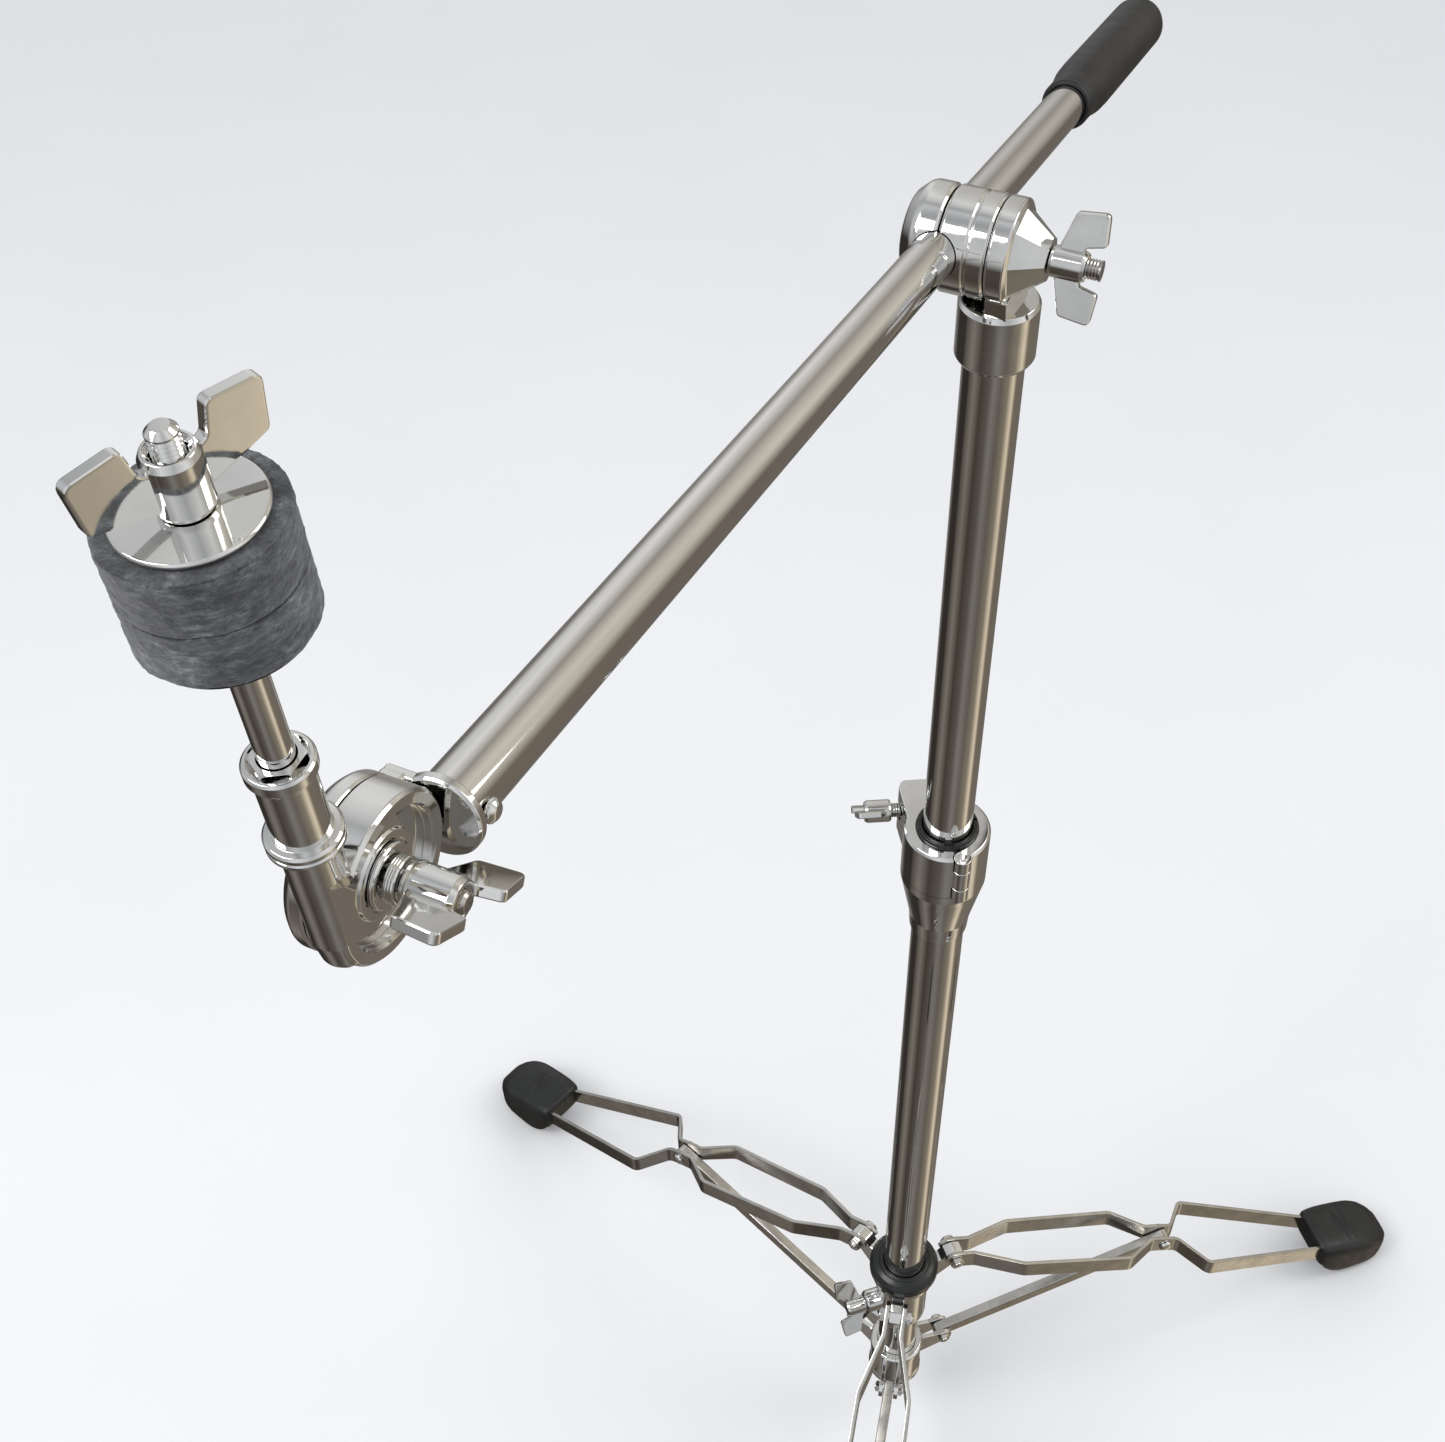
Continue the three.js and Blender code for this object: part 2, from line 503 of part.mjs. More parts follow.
function addBoomArm(boom) {
  const { radius, wall } = BOOM_TUBE;
  const atBoom = (geometry) => alongX(geometry).translate(0, BOOM_OFFSET, 0);
  addPart(boom, 'boom_tube', cut(
    solid(atBoom(ring(radius - wall, radius, BOOM_END.tilter, BOOM_END.grip))),
    solid(alongY(rod(1.9, 0, BOOM_OFFSET)).translate(BOOM_END.tilter + 4.4, 0, 0)),
  ), CHROME());
  const { start, end } = GRIP;
  addPart(boom, 'boom_grip', atBoom(turned([
    [radius + GAP, start], [10.6, start], [11.2, start + 1], [11.2, start + 14], [GRIP.radius, start + 24],
    [GRIP.radius, end - 9], [11.6, end - 4], [8, end - 1], [0, end], [0, BOOM_END.grip + 1],
    [radius + GAP, BOOM_END.grip + 1], [radius + GAP, start],
  ])), BLACK_PLASTIC());

  // The boom's half of the tilter ratchet: a disc, a collar on the tube's end and a spigot pinned inside it.
  const rim = TILTER_RADIUS;
  const { seam, far } = RATCHET;
  const low = seam + GAP / 2;
  const collar = { start: BOOM_END.tilter - 3.7, end: BOOM_END.tilter - GAP, radius: 11.5 };
  const disc = alongY(turned([
    [0, low], [rim, low], [rim, far - 3.6], [rim - 2, far - 1.2], [rim - 6, far], [0, far],
  ])).translate(TILTER_S, 0, 0);
  const neck = atBoom(turned([
    [0, collar.start], [collar.radius, collar.start], [collar.radius, collar.end], [radius - wall - GAP, collar.end],
    [radius - wall - GAP, BOOM_END.tilter + 22], [0, BOOM_END.tilter + 22],
  ]));
  const bridge = box(TILTER_S + 8, collar.end, low, far - 1.5, -9, 9);
  const web = box(collar.start, collar.end, BOOM_OFFSET, far - 1.5, -9, 9);
  const pinS = BOOM_END.tilter + 4.4;
  const pinHole = () => solid(alongY(rod(1.9, -20, BOOM_OFFSET - 3)).translate(pinS, 0, 0));
  const socket = cut(
    join(solid(disc), solid(neck), solid(bridge), solid(web)),
    solid(alongY(rod(3.4, 0, 60)).translate(TILTER_S, 0, 0)),
    pinHole(),
  );
  addPart(boom, 'tilter_socket', socket, CHROME());
  const skin = BOOM_OFFSET - radius - GAP;
  const rivet = turned([[0, skin - 2.2], [2.4, skin - 2.2], [3.4, skin - 1.2], [3.4, skin], [1.6, skin],
    [1.6, BOOM_OFFSET - 3.5], [0, BOOM_OFFSET - 3.5]], SMALL_ROUND);
  addPart(boom, 'boom_end_rivet', alongY(rivet).translate(pinS, 0, 0), CHROME());
}

// ---------- cymbal tilter ----------
function addTilter(tilter) {
  const rim = TILTER_RADIUS;
  const high = RATCHET.seam - GAP / 2;
  const { near, far } = RATCHET;
  const atRod = (geometry) => geometry.translate(ROD_AT.x, ROD_AT.y, 0);
  const disc = alongY(turned([
    [0, near], [rim - 1, near], [rim, near + 1], [rim, high], [0, high],
  ]));
  const { radius: tube, bottom: foot, top: mouth } = BARREL;
  const barrel = atRod(turned([
    [0, foot], [3.4, foot], [5.6, foot + 4], [tube, foot + 12], [tube, 33], [8.6, 33.6], [8.6, 36.8], [tube, 37.4],
    [tube, mouth - 4], [7.7, mouth - 3.4], [7.7, mouth], [0, mouth],
  ]));
  const clearOfSeam = box(-40, 40, high, 60, -40, 23);
  const clearOfFace = box(-40, 40, -20, near, -40, 23);
  const holder = cut(
    join(solid(disc), cut(solid(barrel), solid(clearOfSeam), solid(clearOfFace))),
    solid(atRod(rod(ROD.radius + GAP, ROD.bottom - GAP, mouth + 1))),
    solid(atRod(rod(6.6, mouth - 2.5, mouth + 1))),
    solid(alongY(rod(rim - 4, near - 5, near + 3, ROUND))),
    solid(alongY(rod(3.4, 0, 60))),
  );
  addPart(tilter, 'tilter_rod_holder', holder, CHROME());
  const rodNut = cut(
    solid(atRod(rod(6.2, mouth - 2.2, mouth + 1, 6))),
    solid(atRod(rod(ROD.radius + GAP, 0, mouth + 5))),
  );
  addPart(tilter, 'rod_nut', rodNut, CHROME());
  const { radius, thread, bottom, shoulder, top } = ROD;
  addPart(tilter, 'cymbal_rod', atRod(turned([
    [0, bottom], [radius, bottom], [radius, shoulder], [thread, shoulder], [thread, top - 1], [thread - 1, top], [0, top],
  ], SMALL_ROUND)), DARK_CHROME());

  // Stack on the threaded end: seat, felts on a sleeve, washer, wing nut.
  const bore = thread + GAP;
  let level = shoulder + GAP;
  const stack = (name, inner, outer, height, chamfer, look) => {
    addPart(tilter, name, atRod(ring(inner, outer, level, level + height, chamfer)), look);
    level += height + GAP;
  };
  stack('seat_washer', bore, 16.6, 1.8, 0.4, BLACK_PLASTIC());
  const sleeveBottom = level;
  stack('lower_felt', FELT.bore, FELT.radius, FELT.height, 2.2, FELT_CLOTH());
  stack('upper_felt', FELT.bore, FELT.radius, FELT.height, 2.2, FELT_CLOTH());
  addPart(tilter, 'felt_sleeve', atRod(ring(bore, FELT.bore - GAP, sleeveBottom, level - GAP, 0, SMALL_ROUND)),
    BLACK_PLASTIC());
  stack('top_washer', bore, 14.6, 1.4, 0.3, CHROME());
  const nut = geometryOf(wingHead(bore, SMALL_WING)).rotateZ(-21.3 * DEG);
  addPart(tilter, 'cymbal_wing_nut', atRod(nut.translate(0, 0, level)), CHROME());

  // Pivot bolt of the tilter with its head, washer, spring and wing nut.
  addPart(tilter, 'tilter_bolt', alongY(turned([
    [0, 1], [3, 1], [3, far + GAP], [6.5, far + GAP], [6.5, far + 1.8], [4.5, far + 3], [0, far + 3],
  ], SMALL_ROUND)), DARK_CHROME());
  addPart(tilter, 'tilter_washer', alongY(ring(bore, 8.5, 20.9, 22.7, 0.4, 24)), CHROME());
  addPart(tilter, 'tilter_spring', alongY(ring(4.4, 6.2, 16.6, 20.6, 0.8, 24)), CHROME());
  const wing = geometryOf(wingHead(bore)).rotateZ(-34 * DEG).rotateX(Math.PI / 2).translate(0, 16.3, 0);
  addPart(tilter, 'tilter_wing_nut', wing, CHROME());
}

// ---------- assembly ----------
addColumn();
addBraceCollar();
addLegCollar();
for (const [name, azimuth] of Object.entries(LEG_AZIMUTHS)) {
  addLeg(`leg_${name}`, azimuth);
  addBrace(name, azimuth);
}
addHeightClamp();

const hub = group(stand, { z: HUB_Z, azimuth: BOOM_AZIMUTH });
addUpperColumn(hub);
addBoomWing(hub);
const boom = group(hub);
boom.rotation.y = BOOM_PITCH * DEG;
addBoomHead(boom);
addBoomArm(boom);
const tilter = group(boom, { x: TILTER_S });
tilter.rotation.y = -(BOOM_PITCH + TILTER_LEAN) * DEG;
addTilter(tilter);

stand.position.z = -COLUMN_BASE;

export default stand;
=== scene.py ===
"""Cymbal boom stand: the finished looks of every part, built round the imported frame.

Working sizes are millimetres, with heights above the floor. place() brings each piece into the part's frame,
in metres.
"""
import math

import bmesh
import bpy
from mathutils import Matrix, Vector, noise


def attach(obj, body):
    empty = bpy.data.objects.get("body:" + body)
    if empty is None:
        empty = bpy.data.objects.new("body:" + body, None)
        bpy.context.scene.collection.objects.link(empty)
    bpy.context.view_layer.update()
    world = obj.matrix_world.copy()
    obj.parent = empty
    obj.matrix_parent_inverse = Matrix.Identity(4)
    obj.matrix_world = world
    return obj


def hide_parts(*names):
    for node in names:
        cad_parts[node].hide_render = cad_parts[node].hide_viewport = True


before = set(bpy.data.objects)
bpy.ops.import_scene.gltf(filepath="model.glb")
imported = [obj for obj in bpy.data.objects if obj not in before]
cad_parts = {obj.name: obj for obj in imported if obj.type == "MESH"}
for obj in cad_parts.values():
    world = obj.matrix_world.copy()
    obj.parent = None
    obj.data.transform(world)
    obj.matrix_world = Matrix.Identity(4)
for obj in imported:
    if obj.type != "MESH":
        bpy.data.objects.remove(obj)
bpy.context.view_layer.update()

# ---------- sizes ----------
MM = 0.001
DEG = math.pi / 180
ROUND = 96                          # facets round a tube
FINE = 48                           # facets round a bolt
CORNER_STEPS = 4                    # points in a rounded corner

COLUMN_BASE = 58
LOWER_TUBE = (13.1, 14.3, 64, 694)  # inner radius, outer radius, bottom, top
UPPER_TUBE = (11.5, 12.7, 520, 1043)
BOOM_RADIUS, BOOM_BORE = 9, 7.7
BOOM_ENDS = (-376, 286)
LEG_AZIMUTHS = {"front": -90, "right": 30, "left": 150}
LEG_PIVOT = (37.3, 224.4)
LEG_WAIST = (216.1, 133.2)
LEG_TIP = (388, 24)
BRACE_PIN = (35.9, 99.5)
STRIP_THICKNESS, STRIP_HEIGHT = 3, 15.5
CLAMP_EAR_AZIMUTH, CLAMP_HINGE_AZIMUTH = 105, -61
CLAMP_SPLIT, CLAMP_TOP = 690.5, 722
CLAMP_SCREW_R, CLAMP_SCREW_Z = 25, 707
TRIPOD_SCREW_AZIMUTH, TRIPOD_SCREW_Z = 210, 188
HUB_Z, HUB_RADIUS = 1069.8, 20.5
BOOM_AZIMUTH, BOOM_PITCH, BOOM_OFFSET = 77.9, 10.8, 22
TILTER_S, TILTER_RADIUS, TILTER_LEAN = -402, 21.5, 2.5
RATCHET_NEAR, RATCHET_SEAM, RATCHET_FAR = 20, (30.6, 30.9), 38.8
ROD_X, ROD_Y, ROD_SHOULDER, ROD_TOP = -16.5, 25.3, 99.3, 147.4
FELT_RADIUS, FELT_BORE, FELT_HEIGHT = 17.8, 5.6, 12.8


# ---------- places ----------
def shift(x=0, y=0, z=0):
    return Matrix.Translation((x, y, z))


def turn(angle, axis="Z"):
    return Matrix.Rotation(angle * DEG, 4, axis)


ALONG_X = turn(90, "Y")
ALONG_Y = turn(-90, "X")
STAND = shift(z=-COLUMN_BASE)
HUB = STAND @ shift(z=HUB_Z) @ turn(BOOM_AZIMUTH)
BOOM = HUB @ turn(BOOM_PITCH, "Y")
BORE = BOOM @ shift(y=BOOM_OFFSET) @ ALONG_X
TILTER = BOOM @ shift(x=TILTER_S) @ turn(-BOOM_PITCH - TILTER_LEAN, "Y")
ROD = TILTER @ shift(x=ROD_X, y=ROD_Y)
CLAMP_SCREW = STAND @ turn(CLAMP_EAR_AZIMUTH) @ shift(x=CLAMP_SCREW_R, z=CLAMP_SCREW_Z) @ ALONG_Y
TRIPOD_SCREW = STAND @ turn(TRIPOD_SCREW_AZIMUTH) @ shift(z=TRIPOD_SCREW_Z) @ ALONG_X


def leg_place(azimuth):
    return STAND @ turn(azimuth)


# ---------- meshes ----------
def as_object(name, bm):
    bmesh.ops.recalc_face_normals(bm, faces=bm.faces)
    mesh = bpy.data.meshes.new(name)
    bm.to_mesh(mesh)
    bm.free()
    obj = bpy.data.objects.new(name, mesh)
    bpy.context.scene.collection.objects.link(obj)
    return obj


def rounded(points, closed=True):
    """The outline with each (x, y, radius) corner turned into an arc."""
    line = []
    for i, point in enumerate(points):
        here = Vector(point[:2])
        radius = point[2] if len(point) > 2 else 0
        if radius <= 0 or (not closed and i in (0, len(points) - 1)):
            line.append(here)
            continue
        before = Vector(points[i - 1][:2]) - here
        after = Vector(points[(i + 1) % len(points)][:2]) - here
        half = before.angle(after) / 2
        reach = min(radius / math.tan(half), 0.48 * before.length, 0.48 * after.length)
        start = here + before.normalized() * reach
        end = here + after.normalized() * reach
        for k in range(CORNER_STEPS + 1):
            t = k / CORNER_STEPS
            bulge = 2 * t * (1 - t) * (0.82 + 0.18 * abs(math.cos(half)))
            rest = 1 - bulge
            share = (1 - t) ** 2 / ((1 - t) ** 2 + t ** 2)
            line.append(here * bulge + start * rest * share + end * rest * (1 - share))
    return line


def skin(bm, rings, loop=False):
    """Faces between neighbouring rings of points; a ring of one point closes to a tip."""
    rows = [[bm.verts.new(p) for p in ring] for ring in rings]
    pairs = list(zip(rows, rows[1:] + rows[:1])) if loop else list(zip(rows, rows[1:]))
    for a, b in pairs:
        count = max(len(a), len(b))
        for k in range(count):
            m = (k + 1) % count
            corners = []
            for vert in (a[k % len(a)], a[m % len(a)], b[m % len(b)], b[k % len(b)]):
                if vert not in corners:
                    corners.append(vert)
            if len(corners) > 2:
                bm.faces.new(corners)
    return rows


def turned(points, segments=ROUND, closed=False):
    """A turned piece about Z from (radius, z, corner radius) points."""
    rings = []
    for radius, z in rounded(points, closed):
        if radius < 1e-6:
            rings.append([(0, 0, z)])
        else:
            step = 2 * math.pi / segments
            angles = [k * step for k in range(segments)]
            rings.append([(radius * math.cos(a), radius * math.sin(a), z) for a in angles])
    bm = bmesh.new()
    skin(bm, rings, loop=closed)
    return as_object("turned", bm)


def tube(inner, outer, bottom, top, edge=0.5, segments=ROUND):
    return turned([(inner, bottom, edge / 2), (outer, bottom, edge), (outer, top, edge),
                   (inner, top, edge / 2)],
                  segments, closed=True)


def rod(radius, bottom, top, edge=0.4, segments=FINE):
    return turned([(0, bottom), (radius, bottom, edge), (radius, top, edge), (0, top)], segments)


def inset(outline, depth):
    moved = []
    for i, here in enumerate(outline):
        u = (here - outline[i - 1]).normalized()
        v = (outline[(i + 1) % len(outline)] - here).normalized()
        normal = Vector((-(u.y + v.y), u.x + v.x))
        moved.append(here + normal * depth / max(1 + u.dot(v), 0.4))
    return moved


def plate(points, low, high, edge=0.6, upright=True):
    """An outline in the XZ plane and its thickness along Y, or flat on the XY plane, with softened rims."""
    outline = rounded(points)
    area = sum(a.cross(b) for a, b in zip(outline, outline[1:] + outline[:1]))
    if area < 0:
        outline.reverse()
    rings = []
    for depth, level in ((1, 0), (0.3, 0.12), (0, 0.6)):
        rings.append((edge * depth, low + edge * level))
    rings += [(depth, high - (level - low)) for depth, level in reversed(rings)]
    shape = []
    for depth, level in rings:
        line = inset(outline, depth)
        shape.append([(p.x, level, p.y) if upright else (p.x, p.y, level) for p in line])
    bm = bmesh.new()
    rows = skin(bm, shape)
    bm.faces.new(rows[0])
    bm.faces.new(rows[-1])
    return as_object("plate", bm)


def moved(obj, matrix):
    obj.data.transform(matrix)
    return obj


def boolean(base, operation, tools):
    for tool in tools:
        step = base.modifiers.new("step", "BOOLEAN")
        step.operation = operation
        step.solver = "MANIFOLD"
        step.object = tool
    return applied(base, tools)


def applied(obj, spent=()):
    depsgraph = bpy.context.evaluated_depsgraph_get()
    mesh = bpy.data.meshes.new_from_object(obj.evaluated_get(depsgraph))
    obj.modifiers.clear()
    obj.data = mesh
    for tool in spent:
        bpy.data.objects.remove(tool)
    return obj


def join(base, *others):
    return boolean(base, "UNION", others)


def cut(base, *tools):
    return boolean(base, "DIFFERENCE", tools)


def common(base, *others):
    return boolean(base, "INTERSECT", others)


def place(name, obj, matrix, finish, body, slot, *nodes, crease=32):
    """Finishes a piece: shading with flat faces kept flat, its material, its body and the nodes it shows."""
    obj.name = name
    obj.data.name = name
    obj.data.transform(Matrix.Scale(MM, 4))
    obj.matrix_world = Matrix.LocRotScale(matrix.to_translation() * MM, matrix.to_quaternion(), None)
    obj.data.shade_smooth()
    obj.data.set_sharp_from_angle(angle=crease * DEG)
    weight = obj.modifiers.new("weight", "WEIGHTED_NORMAL")
    weight.keep_sharp = True
    applied(obj)
    obj.data.materials.clear()
    obj.data.materials.append(finish)
    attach(obj, body)
    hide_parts(*nodes)
    return obj


# ---------- materials ----------
class Graph:
    """A material's nodes, made one after another."""

    def __init__(self, name):
        self.material = bpy.data.materials.new(name)
        self.material.use_nodes = True
        self.tree = self.material.node_tree
        self.shader = self.tree.nodes["Principled BSDF"]
        self.coordinates = self.tree.nodes.new("ShaderNodeTexCoord").outputs["Object"]

    def link(self, output, socket):
        self.tree.links.new(output, socket)

    def noise(self, scale, detail=3, rough=0.5, stretch=None):
        node = self.tree.nodes.new("ShaderNodeTexNoise")
        node.inputs["Scale"].default_value = scale
        node.inputs["Detail"].default_value = detail
        node.inputs["Roughness"].default_value = rough
        if stretch:
            mapping = self.tree.nodes.new("ShaderNodeMapping")
            mapping.inputs["Scale"].default_value = stretch
            self.link(self.coordinates, mapping.inputs["Vector"])
            self.link(mapping.outputs["Vector"], node.inputs["Vector"])
        else:
            self.link(self.coordinates, node.inputs["Vector"])
        return node.outputs["Fac"]

    def ramp(self, value, stops):
        node = self.tree.nodes.new("ShaderNodeValToRGB")
        fill_ramp(node.color_ramp, stops)
        self.link(value, node.inputs["Fac"])
        return node.outputs["Color"]

    def spread(self, value, low, high, start=0.3, end=0.7):
        node = self.tree.nodes.new("ShaderNodeMapRange")
        for socket, number in (("From Min", start), ("From Max", end), ("To Min", low), ("To Max", high)):
            node.inputs[socket].default_value = number
        self.link(value, node.inputs["Value"])
        return node.outputs["Result"]

    def bump(self, height, strength, distance, under=None):
        node = self.tree.nodes.new("ShaderNodeBump")
        node.inputs["Strength"].default_value = strength
        node.inputs["Distance"].default_value = distance
        self.link(height, node.inputs["Height"])
        if under:
            self.link(under, node.inputs["Normal"])
        return node.outputs["Normal"]

    def set(self, **values):
        for name, value in values.items():
            socket = self.shader.inputs[name.replace("_", " ")]
            if isinstance(value, bpy.types.NodeSocket):
                self.link(value, socket)
            else:
                socket.default_value = value
        return self.material


def fill_ramp(ramp, stops):
    while len(ramp.elements) < len(stops):
        ramp.elements.new(0.5)
    for element, (position, color) in zip(ramp.elements, stops):
        element.position = position
        element.color = (*color, 1)


def metal(name, dark, light, smooth, rough, wave=0.05):
    g = Graph(name)
    tone = g.ramp(g.noise(45, 4, 0.6), [(0.35, dark), (0.65, light)])
    gloss = g.spread(g.noise(260, 5, 0.65), smooth, rough)
    ripple = g.bump(g.noise(28, 2, 0.4), wave, 0.001)
    grain = g.bump(g.noise(1800, 2, 0.5), wave * 0.4, 0.0001, ripple)
    return g.set(Base_Color=tone, Roughness=gloss, Normal=grain, Metallic=1.0)


def tube_metal(name, dark, light, smooth, rough):
    """Drawn tube: faint lines run along its length."""
    g = Graph(name)
    tone = g.ramp(g.noise(30, 4, 0.6, (1, 1, 0.15)), [(0.35, dark), (0.65, light)])
    gloss = g.spread(g.noise(300, 4, 0.6, (1, 1, 0.04)), smooth, rough)
    ripple = g.bump(g.noise(60, 2, 0.4, (1, 1, 0.03)), 0.04, 0.001)
    return g.set(Base_Color=tone, Roughness=gloss, Normal=ripple, Metallic=1.0)


def moulded(name, dark, light, smooth, rough, grain, depth):
    g = Graph(name)
    tone = g.ramp(g.noise(60, 4, 0.6), [(0.3, dark), (0.7, light)])
    gloss = g.spread(g.noise(140, 4, 0.6), smooth, rough)
    pores = g.bump(g.noise(grain, 3, 0.6), 0.35, depth)
    return g.set(Base_Color=tone, Roughness=gloss, Normal=pores)


CHROME = metal("polished_chrome", (0.70, 0.70, 0.69), (0.80, 0.80, 0.78), 0.035, 0.10)
TUBE = tube_metal("chromed_tube", (0.68, 0.67, 0.65), (0.78, 0.77, 0.75), 0.03, 0.09)
STEEL = metal("plated_steel", (0.50, 0.49, 0.46), (0.66, 0.64, 0.60), 0.12, 0.24, 0.08)
THREAD = metal("cut_thread", (0.42, 0.41, 0.40), (0.60, 0.59, 0.57), 0.16, 0.30, 0.10)
PLASTIC = moulded("black_plastic", (0.006, 0.007, 0.007), (0.013, 0.014, 0.014), 0.22, 0.34, 900, 0.00008)
GRIP_RUBBER = moulded("grip_rubber", (0.008, 0.008, 0.009), (0.018, 0.018, 0.019), 0.42, 0.55, 1400, 0.00015)
FOOT_RUBBER = moulded("foot_rubber", (0.005, 0.006, 0.006), (0.014, 0.015, 0.015), 0.34, 0.52, 700, 0.00016)


def felt_material():
    g = Graph("wool_felt")
    cloud = g.noise(70, 6, 0.7)
    wisps = g.noise(260, 6, 0.75, (1, 1, 2.6))
    mix = g.tree.nodes.new("ShaderNodeMath")
    mix.operation = "MULTIPLY_ADD"
    g.link(cloud, mix.inputs[0])
    mix.inputs[1].default_value = 0.55
    g.link(wisps, mix.inputs[2])
    tone = g.ramp(mix.outputs["Value"], [
        (0.56, (0.012, 0.013, 0.015)), (0.74, (0.035, 0.037, 0.042)), (0.88, (0.11, 0.115, 0.125)),
        (1.0, (0.26, 0.27, 0.29)),
    ])
    soft = g.bump(g.noise(420, 6, 0.75), 0.9, 0.0006)
    fuzz = g.bump(g.noise(2600, 4, 0.8), 0.7, 0.0002, soft)
    g.set(Base_Color=tone, Roughness=g.spread(cloud, 0.85, 1.0), Normal=fuzz)
    return g.set(Sheen_Weight=0.35, Sheen_Roughness=0.6, Specular_IOR_Level=0.15)


FELT = felt_material()


# ---------- wing nuts and wing screws ----------
WING_REACH, WING_HIGH, WING_HUB = 21.5, 20, 14


def wing_head(bore=0, size=1):
    """A winged head standing along +Z, wings along X, with rounded blades and a turned hub."""
    hub = turned([(0, 0), (5.6, 0, 0.5), (6, 1.2, 0.6), (6, WING_HUB - 1.6, 0.5), (5.2, WING_HUB, 0.6),
                  (0, WING_HUB)], FINE)
    blades = []
    for side in (1, -1):
        outline = [
            (4.2, 2, 0), (8.5, 3.0, 2.5), (WING_REACH - 1.5, 6.5, 1.8), (WING_REACH, WING_HIGH - 1, 2.2),
            (9, WING_HIGH, 1.8), (7.3, 12.6, 1.6), (4.2, 11.2, 0),
        ]
        blades.append(plate([(side * x, z, r) for x, z, r in outline], -1.6, 1.6, 0.75))
    head = moved(join(hub, *blades), Matrix.Scale(size, 4))
    if bore:
        end = WING_HUB * size
        hole = turned([(0, -1), (bore + 0.8, -1), (bore + 0.8, 0.4), (bore, 1.4), (bore, end - 1.2),
                       (bore + 0.9, end - 0.2), (bore + 0.9, end + 2), (0, end + 2)], FINE)
        cut(head, hole)
    return head


def threaded(radius, bottom, top, pitch=1.0, tip=1.0):
    """A threaded rod with a chamfered tip."""
    points = [(0, bottom), (radius, bottom)]
    z = bottom + pitch / 2
    while z + pitch < top - tip:
        points += [(radius, z), (radius - 0.42 * pitch, z + pitch / 2)]
        z += pitch
    points += [(radius, z), (radius, top - tip, 0.3), (radius - tip, top, 0.4), (0, top)]
    return turned(points, FINE)


def hex_head(radius, low, high, domed=1.0):
    """A hexagon along Z whose outer corners are turned off."""
    points = [(radius * math.cos(k * 60 * DEG), radius * math.sin(k * 60 * DEG), 0.25) for k in range(6)]
    body = plate(points, low, high, 0.15, upright=False)
    crown = turned([(0, low - 1), (radius * 1.3, low - 1), (radius * 1.3, high - 0.45 * domed),
                    (radius * 0.84, high + 0.02), (0, high + 0.1)], FINE)
    return common(body, crown)


# ---------- column ----------
def bolt(half, radius, head, length):
    """A bolt along Y: hexagon head and nut, and a domed end, clear of the middle."""
    shank = rod(radius, -half - length - 0.8, half + length + 1.2, 0.8)
    top = hex_head(head, half, half + length)
    low = moved(hex_head(head, half, half + length), turn(180, "X"))
    return moved(join(shank, top, low), ALONG_Y)


def build_column():
    inner, outer, bottom, top = LOWER_TUBE
    place("lower_tube_skin", tube(inner, outer, bottom, top, 0.6), STAND, TUBE, "column", "plated_steel",
          "lower_tube")
    cap = turned([
        (0, 59.2), (8, 59.2, 1), (9.5, 58, 0.6), (outer - 0.2, 58, 1.2), (outer + 0.1, 59.5, 0.6),
        (outer + 0.1, bottom - 0.4, 0.5), (inner - 0.3, bottom - 0.3), (inner - 0.3, bottom + 14, 1),
        (0, bottom + 14),
    ])
    rib = [(-9, 58.2), (9, 58.2), (9, 60.4), (-9, 60.4)]
    ribs = [moved(plate(rib, -0.7, 0.7, 0.2), turn(a)) for a in (0, 60, 120)]
    place("column_end_cap_skin", join(cap, *ribs), STAND, PLASTIC, "column", "black_plastic",
          "column_end_cap")

    collar = turned([
        (outer - 1, 66), (18.3, 66, 0.8), (19.5, 67.5, 1.2), (19.5, 72, 0.8), (18.7, 73.2, 0.8),
        (18.7, 103, 0.8),
        (19.5, 104.2, 0.8), (19.5, 108.5, 1.2), (18.1, 110, 0.8), (outer - 1, 110),
    ], closed=True)
    pin_r, pin_z = BRACE_PIN
    ears = []
    for azimuth in LEG_AZIMUTHS.values():
        for low, high in ((4, 7), (-7, -4)):
            outline = [
                (15, pin_z - 14, 0), (20, pin_z - 12.5, 4), (pin_r + 1.5, pin_z - 6.6, 5),
                (pin_r + 6.5, pin_z - 4, 4),
                (pin_r + 6.5, pin_z + 4, 4), (pin_r + 1.5, pin_z + 6.5, 4), (pin_r - 8, pin_z + 7, 4),
                (20, pin_z + 9, 2),
                (15, pin_z + 9, 0),
            ]
            ears.append(moved(plate(outline, low, high, 0.6), turn(azimuth)))
    collar = cut(join(collar, *ears), rod(outer + 0.3, 60, 120, 0, ROUND))
    place("brace_collar_skin", collar, STAND, CHROME, "column", "polished_chrome", "brace_collar")
    for name, azimuth in LEG_AZIMUTHS.items():
        place(f"{name}_brace_pin_skin", bolt(7.3, 2.5, 4.2, 2.4), leg_place(azimuth) @ shift(pin_r, 0, pin_z),
              CHROME,
              "column", "polished_chrome", f"{name}_brace_pin")


